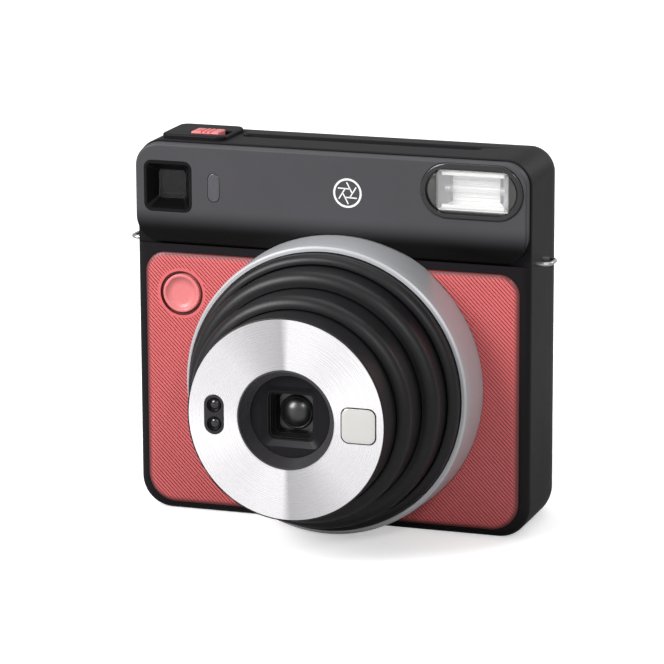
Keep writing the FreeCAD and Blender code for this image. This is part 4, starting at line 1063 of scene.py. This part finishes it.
class CAMERA_OT_back(bpy.types.Operator):
    """Film door ribs, key symbols, latch grooves, windows and battery door ridges"""
    bl_idname = "instant_camera.back"
    bl_label = "Back and battery door"

    def execute(self, context):
        shell = bpy.data.materials["Shell plastic"]
        fascia = bpy.data.materials["Graphite fascia"]
        ink = bpy.data.materials["White ink"]
        smoked = plain("Smoked window", (0.02, 0.02, 0.023), 0.08, Coat_Weight=0.5)
        paint(smoked, "film_window", "mode_window")
        self.door(shell)
        self.latch(fascia)
        self.symbols(ink)
        self.hatch(shell)
        return {"FINISHED"}

    def door(self, shell):
        """Frame round the film window, thumb ribs and a raised panel line."""
        low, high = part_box("film_door")
        wlow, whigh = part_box("film_window")
        y = high.y
        surround = framed("film_window_frame", (wlow.x - 2 * MM, y - 0.3 * MM, wlow.z - 2 * MM),
                          (whigh.x + 2 * MM, y + 0.35 * MM, whigh.z + 2 * MM), 4.5 * MM, 2.1 * MM, 2.9 * MM)
        finish(surround, "film_door", shell)
        for i in range(9):
            z = (low.z + high.z) / 2 - 10 * MM + i * 2.5 * MM
            rib = block(f"door_grip_rib_{i + 1}", (low.x + 2.5 * MM, y - 0.2 * MM, z),
                        (low.x + 9.5 * MM, y + 0.45 * MM, z + 1.1 * MM))
            soften_rim(rib, lambda f: f.normal.y > 0.9, 0.3 * MM, 3)
            finish(rib, "film_door", shell)
        seam = framed("door_panel_line", (low.x + 4 * MM, y - 0.2 * MM, low.z + 6 * MM),
                      (high.x - 8 * MM, y + 0.18 * MM, high.z - 6 * MM), 5 * MM, 0.8 * MM, 4.4 * MM, 8)
        finish(seam, "film_door", shell)

    def latch(self, fascia):
        """Latch knob with grooves for the thumb."""
        low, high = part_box("door_latch")
        knob = cad_copy("door_latch", "door_latch_grooved")
        for i in range(5):
            z = low.z + (2.2 + 1.8 * i) * MM
            cut(knob, block("groove", (low.x - MM, high.y - 0.35 * MM, z),
                            (high.x + MM, high.y + MM, z + 0.7 * MM)))
        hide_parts("door_latch")
        finish(knob, "door_latch", fascia, 25)

    def symbols(self, ink):
        """Generic symbols on the keys and lamps in the mode window."""
        for node, shape in (("mode_button", "ring"), ("flash_button", "bolt"), ("timer_button", "clock")):
            low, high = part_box(node)
            mid = (low + high) / 2
            y = high.y
            if shape == "bolt":
                for i, (dx, dz, tilt) in enumerate(((0.25, 0.55, 25), (-0.25, -0.55, 25))):
                    bar = block(f"bolt_{i + 1}", (-0.16 * MM, -INK, -0.75 * MM), (0.16 * MM, INK, 0.75 * MM))
                    bar.matrix_world = (Matrix.Translation((mid.x + dx * MM, y, mid.z + dz * MM))
                                        @ Matrix.Rotation(math.radians(tilt), 4, "Y"))
                    settle(bar)
                    finish(bar, node, ink)
                continue
            ring = flat_ring(shape + "_symbol", 1.0 * MM, 1.3 * MM, mid.x, y, mid.z, 32)
            finish(ring, node, ink)
            if shape == "clock":
                hand = block("clock_hand", (mid.x - 0.12 * MM, y - INK, mid.z),
                             (mid.x + 0.12 * MM, y + INK, mid.z + 0.8 * MM))
                finish(hand, node, ink)
        low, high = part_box("mode_window")
        for i in range(6):
            x = low.x + (3.5 + 5.4 * i) * MM
            lamp = drum(f"mode_lamp_{i + 1}", 0.7 * MM, high.y - INK, high.y + 0.03 * MM, x,
                        (low.z + high.z) / 2, 24)
            choose(lamp, lambda f: f.normal.y > 0.9)
            bpy.ops.mesh.inset(thickness=0.2 * MM)
            done()
            finish(lamp, "camera_body", ink)

    def hatch(self, shell):
        """Pull ridges on the battery door."""
        low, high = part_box("battery_door")
        for i in range(6):
            z = high.z - (6 + 2.2 * i) * MM
            ridge = block(f"battery_ridge_{i + 1}", (low.x - 0.3 * MM, low.y + 2.0 * MM, z),
                          (low.x + 0.8 * MM, low.y + 7.0 * MM, z + 0.9 * MM))
            soften_rim(ridge, lambda f: f.normal.x < -0.9, 0.25 * MM, 3)
            finish(ridge, "battery_door", shell)


class CAMERA_OT_inside(bpy.types.Operator):
    """Finishes of the springs, gears, rollers, boards and fastenings"""
    bl_idname = "instant_camera.inside"
    bl_label = "Inner parts"

    def execute(self, context):
        steel = Nodes("Drawn steel", (0.56, 0.56, 0.57), 0.28, 1.0)
        steel.fleck(700.0, 3.0, 0.08, 0.00004)
        paint(steel.material, "strap_lugs", "casing_screws", "roller_frame", "feed_motor", "door_hinge_pin",
              "battery_door_pin", "pack_springs", "shutter_spring")
        brass = Nodes("Brass", (0.78, 0.58, 0.28), 0.3, 1.0)
        brass.fleck(500.0, 3.0, 0.08, 0.00004)
        paint(brass.material, "tripod_socket")
        for node, name, colour, rough in INNER:
            paint(moulded(name, colour, rough, 0.0004, 0.1), node)
        self.thread(brass.material)
        return {"FINISHED"}

    def thread(self, brass):
        """Thread turns in the tripod socket."""
        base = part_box("tripod_socket")[0].z
        for i in range(4):
            z = base + (0.8 + THREAD_PITCH * i) * MM
            clear()
            bpy.ops.mesh.primitive_torus_add(major_radius=THREAD_R, minor_radius=0.32 * MM, major_segments=48,
                                             minor_segments=6, location=(0, 0, z))
            turn = active(f"thread_turn_{i + 1}")
            settle(turn)
            finish(turn, "camera_body", brass)


THREAD_R = 3.175 * MM
THREAD_PITCH = 1.27       # millimetres
INNER = (
    ("front_roller", "Roller rubber", (0.05, 0.05, 0.052), 0.55),
    ("rear_roller", "Rear roller rubber", (0.05, 0.05, 0.052), 0.55),
    ("front_roller_gear", "Acetal gear", (0.80, 0.79, 0.74), 0.35),
    ("rear_roller_gear", "Rear acetal gear", (0.80, 0.79, 0.74), 0.35),
    ("motor_pinion", "Acetal pinion", (0.80, 0.79, 0.74), 0.35),
    ("main_board", "Main board", (0.02, 0.16, 0.06), 0.4),
    ("control_board", "Control board", (0.02, 0.16, 0.06), 0.4),
    ("flash_capacitor", "Capacitor sleeve", (0.03, 0.04, 0.08), 0.3),
    ("batteries", "Battery wrap", (0.16, 0.18, 0.22), 0.3),
)


class CAMERA_OT_stage(bpy.types.Operator):
    """Floor, backdrop, lights and camera"""
    bl_idname = "instant_camera.stage"
    bl_label = "Stage"

    def execute(self, context):
        stage = settings()[3]
        clear()
        bpy.ops.mesh.primitive_plane_add(size=6.0, location=(0, 0.6, CAD_BOX[0][2]))
        floor = active("stage_floor")
        settle(floor)
        nodes = Nodes("Pale floor", (0.9, 0.9, 0.9), 0.8)
        seen = nodes.add("LightPath").outputs["Is Camera Ray"]
        nodes.feed(nodes.ranged(seen, To_Min=FLOOR_BOUNCE, To_Max=0.9), "Base Color")
        nodes.shader.inputs["Emission Color"].default_value = (1, 1, 1, 1)
        nodes.feed(nodes.ranged(seen, To_Min=0.0, To_Max=0.42), "Emission Strength")
        floor.data.materials.append(nodes.material)
        world = bpy.data.worlds.new("Studio")
        context.scene.world = world
        world.use_nodes = True
        self.sky(Tree(world.node_tree), stage.light)
        for name, place, size, power in LIGHTS:
            self.lamp(context, name, place, size, power * stage.light)
        self.camera(context, stage)
        return {"FINISHED"}

    def sky(self, tree, light):
        """White to the eye, dimmer as a light."""
        background = tree.tree.nodes["Background"]
        background.inputs["Color"].default_value = (1, 1, 1, 1)
        seen = tree.add("LightPath").outputs["Is Camera Ray"]
        tree.link(tree.ranged(seen, To_Min=SKY * light, To_Max=1.0), background.inputs["Strength"])

    def lamp(self, context, name, place, size, power):
        data = bpy.data.lights.new(name, "AREA")
        data.shape = "RECTANGLE"
        data.size, data.size_y = size
        data.energy = power
        lamp = bpy.data.objects.new(name, data)
        context.scene.collection.objects.link(lamp)
        lamp.location = place
        aim = Vector((0, 0, 0.06)) - Vector(place)
        lamp.rotation_euler = aim.to_track_quat("-Z", "Y").to_euler()

    def camera(self, context, stage):
        a, e = stage.azimuth, stage.elevation
        back = Vector((math.sin(a) * math.cos(e), -math.cos(a) * math.cos(e), math.sin(e)))
        target = Vector((0.00052, FACE_Y, 0.06151))
        right = Vector((math.cos(a), math.sin(a), 0))
        up = back.cross(right)
        c, s = math.cos(stage.roll), math.sin(stage.roll)
        x_axis = right * c + up * s
        y_axis = up * c - right * s
        data = bpy.data.cameras.new("View")
        data.lens = stage.focal
        data.sensor_width = 36.0
        data.clip_start = 0.01
        data.clip_end = 20.0
        camera = bpy.data.objects.new("View", data)
        context.scene.collection.objects.link(camera)
        turn = Matrix((x_axis, y_axis, back)).transposed().to_4x4()
        camera.matrix_world = Matrix.Translation(target + back * stage.distance) @ turn
        context.scene.camera = camera
        context.scene.view_settings.view_transform = "Standard"


SKY = 0.45                # strength of the surroundings as a light
FLOOR_BOUNCE = 0.40       # floor's paleness as a light
LIGHTS = (
    ("key", (-1.1, -1.2, 1.0), (0.9, 0.9), 38.0),
    ("fill", (1.3, -0.9, 0.7), (0.8, 1.2), 3.4),
    ("accent", (0.62, -0.95, 0.80), (0.16, 0.24), 3.0),
    ("top", (0.0, 0.3, 1.5), (1.4, 1.0), 6.5),
    ("back", (1.0, 1.3, 0.9), (0.9, 0.9), 6.0),
)

OPERATORS = (CAMERA_OT_case, CAMERA_OT_grips, CAMERA_OT_controls, CAMERA_OT_lens, CAMERA_OT_optics,
             CAMERA_OT_flash, CAMERA_OT_mark, CAMERA_OT_back, CAMERA_OT_inside, CAMERA_OT_stage)
GROUP_TYPES = (BodySettings, GripSettings, LensSettings, StageSettings)


class CAMERA_PT_panel(bpy.types.Panel):
    """Sidebar panel that lists the settings and the pieces"""
    bl_label = "Instant camera"
    bl_idname = "CAMERA_PT_panel"
    bl_space_type = "VIEW_3D"
    bl_region_type = "UI"
    bl_category = "Instant camera"

    def draw(self, context):
        for block_ in settings():
            box = self.layout.box()
            for key in block_.__annotations__:
                box.prop(block_, key)
        for operator in OPERATORS:
            self.layout.operator(operator.bl_idname)


def register():
    for kind in GROUP_TYPES + OPERATORS + (CAMERA_PT_panel,):
        bpy.utils.register_class(kind)
    scene = bpy.types.Scene
    scene.camera_body = bpy.props.PointerProperty(type=BodySettings)
    scene.camera_grips = bpy.props.PointerProperty(type=GripSettings)
    scene.camera_lens = bpy.props.PointerProperty(type=LensSettings)
    scene.camera_stage = bpy.props.PointerProperty(type=StageSettings)


def unregister():
    for name in ("camera_body", "camera_grips", "camera_lens", "camera_stage"):
        delattr(bpy.types.Scene, name)
    for kind in reversed(GROUP_TYPES + OPERATORS + (CAMERA_PT_panel,)):
        bpy.utils.unregister_class(kind)


def main():
    register()
    for operator in OPERATORS:
        family, name = operator.bl_idname.split(".")
        getattr(getattr(bpy.ops, family), name)()


if __name__ == "__main__":
    main()
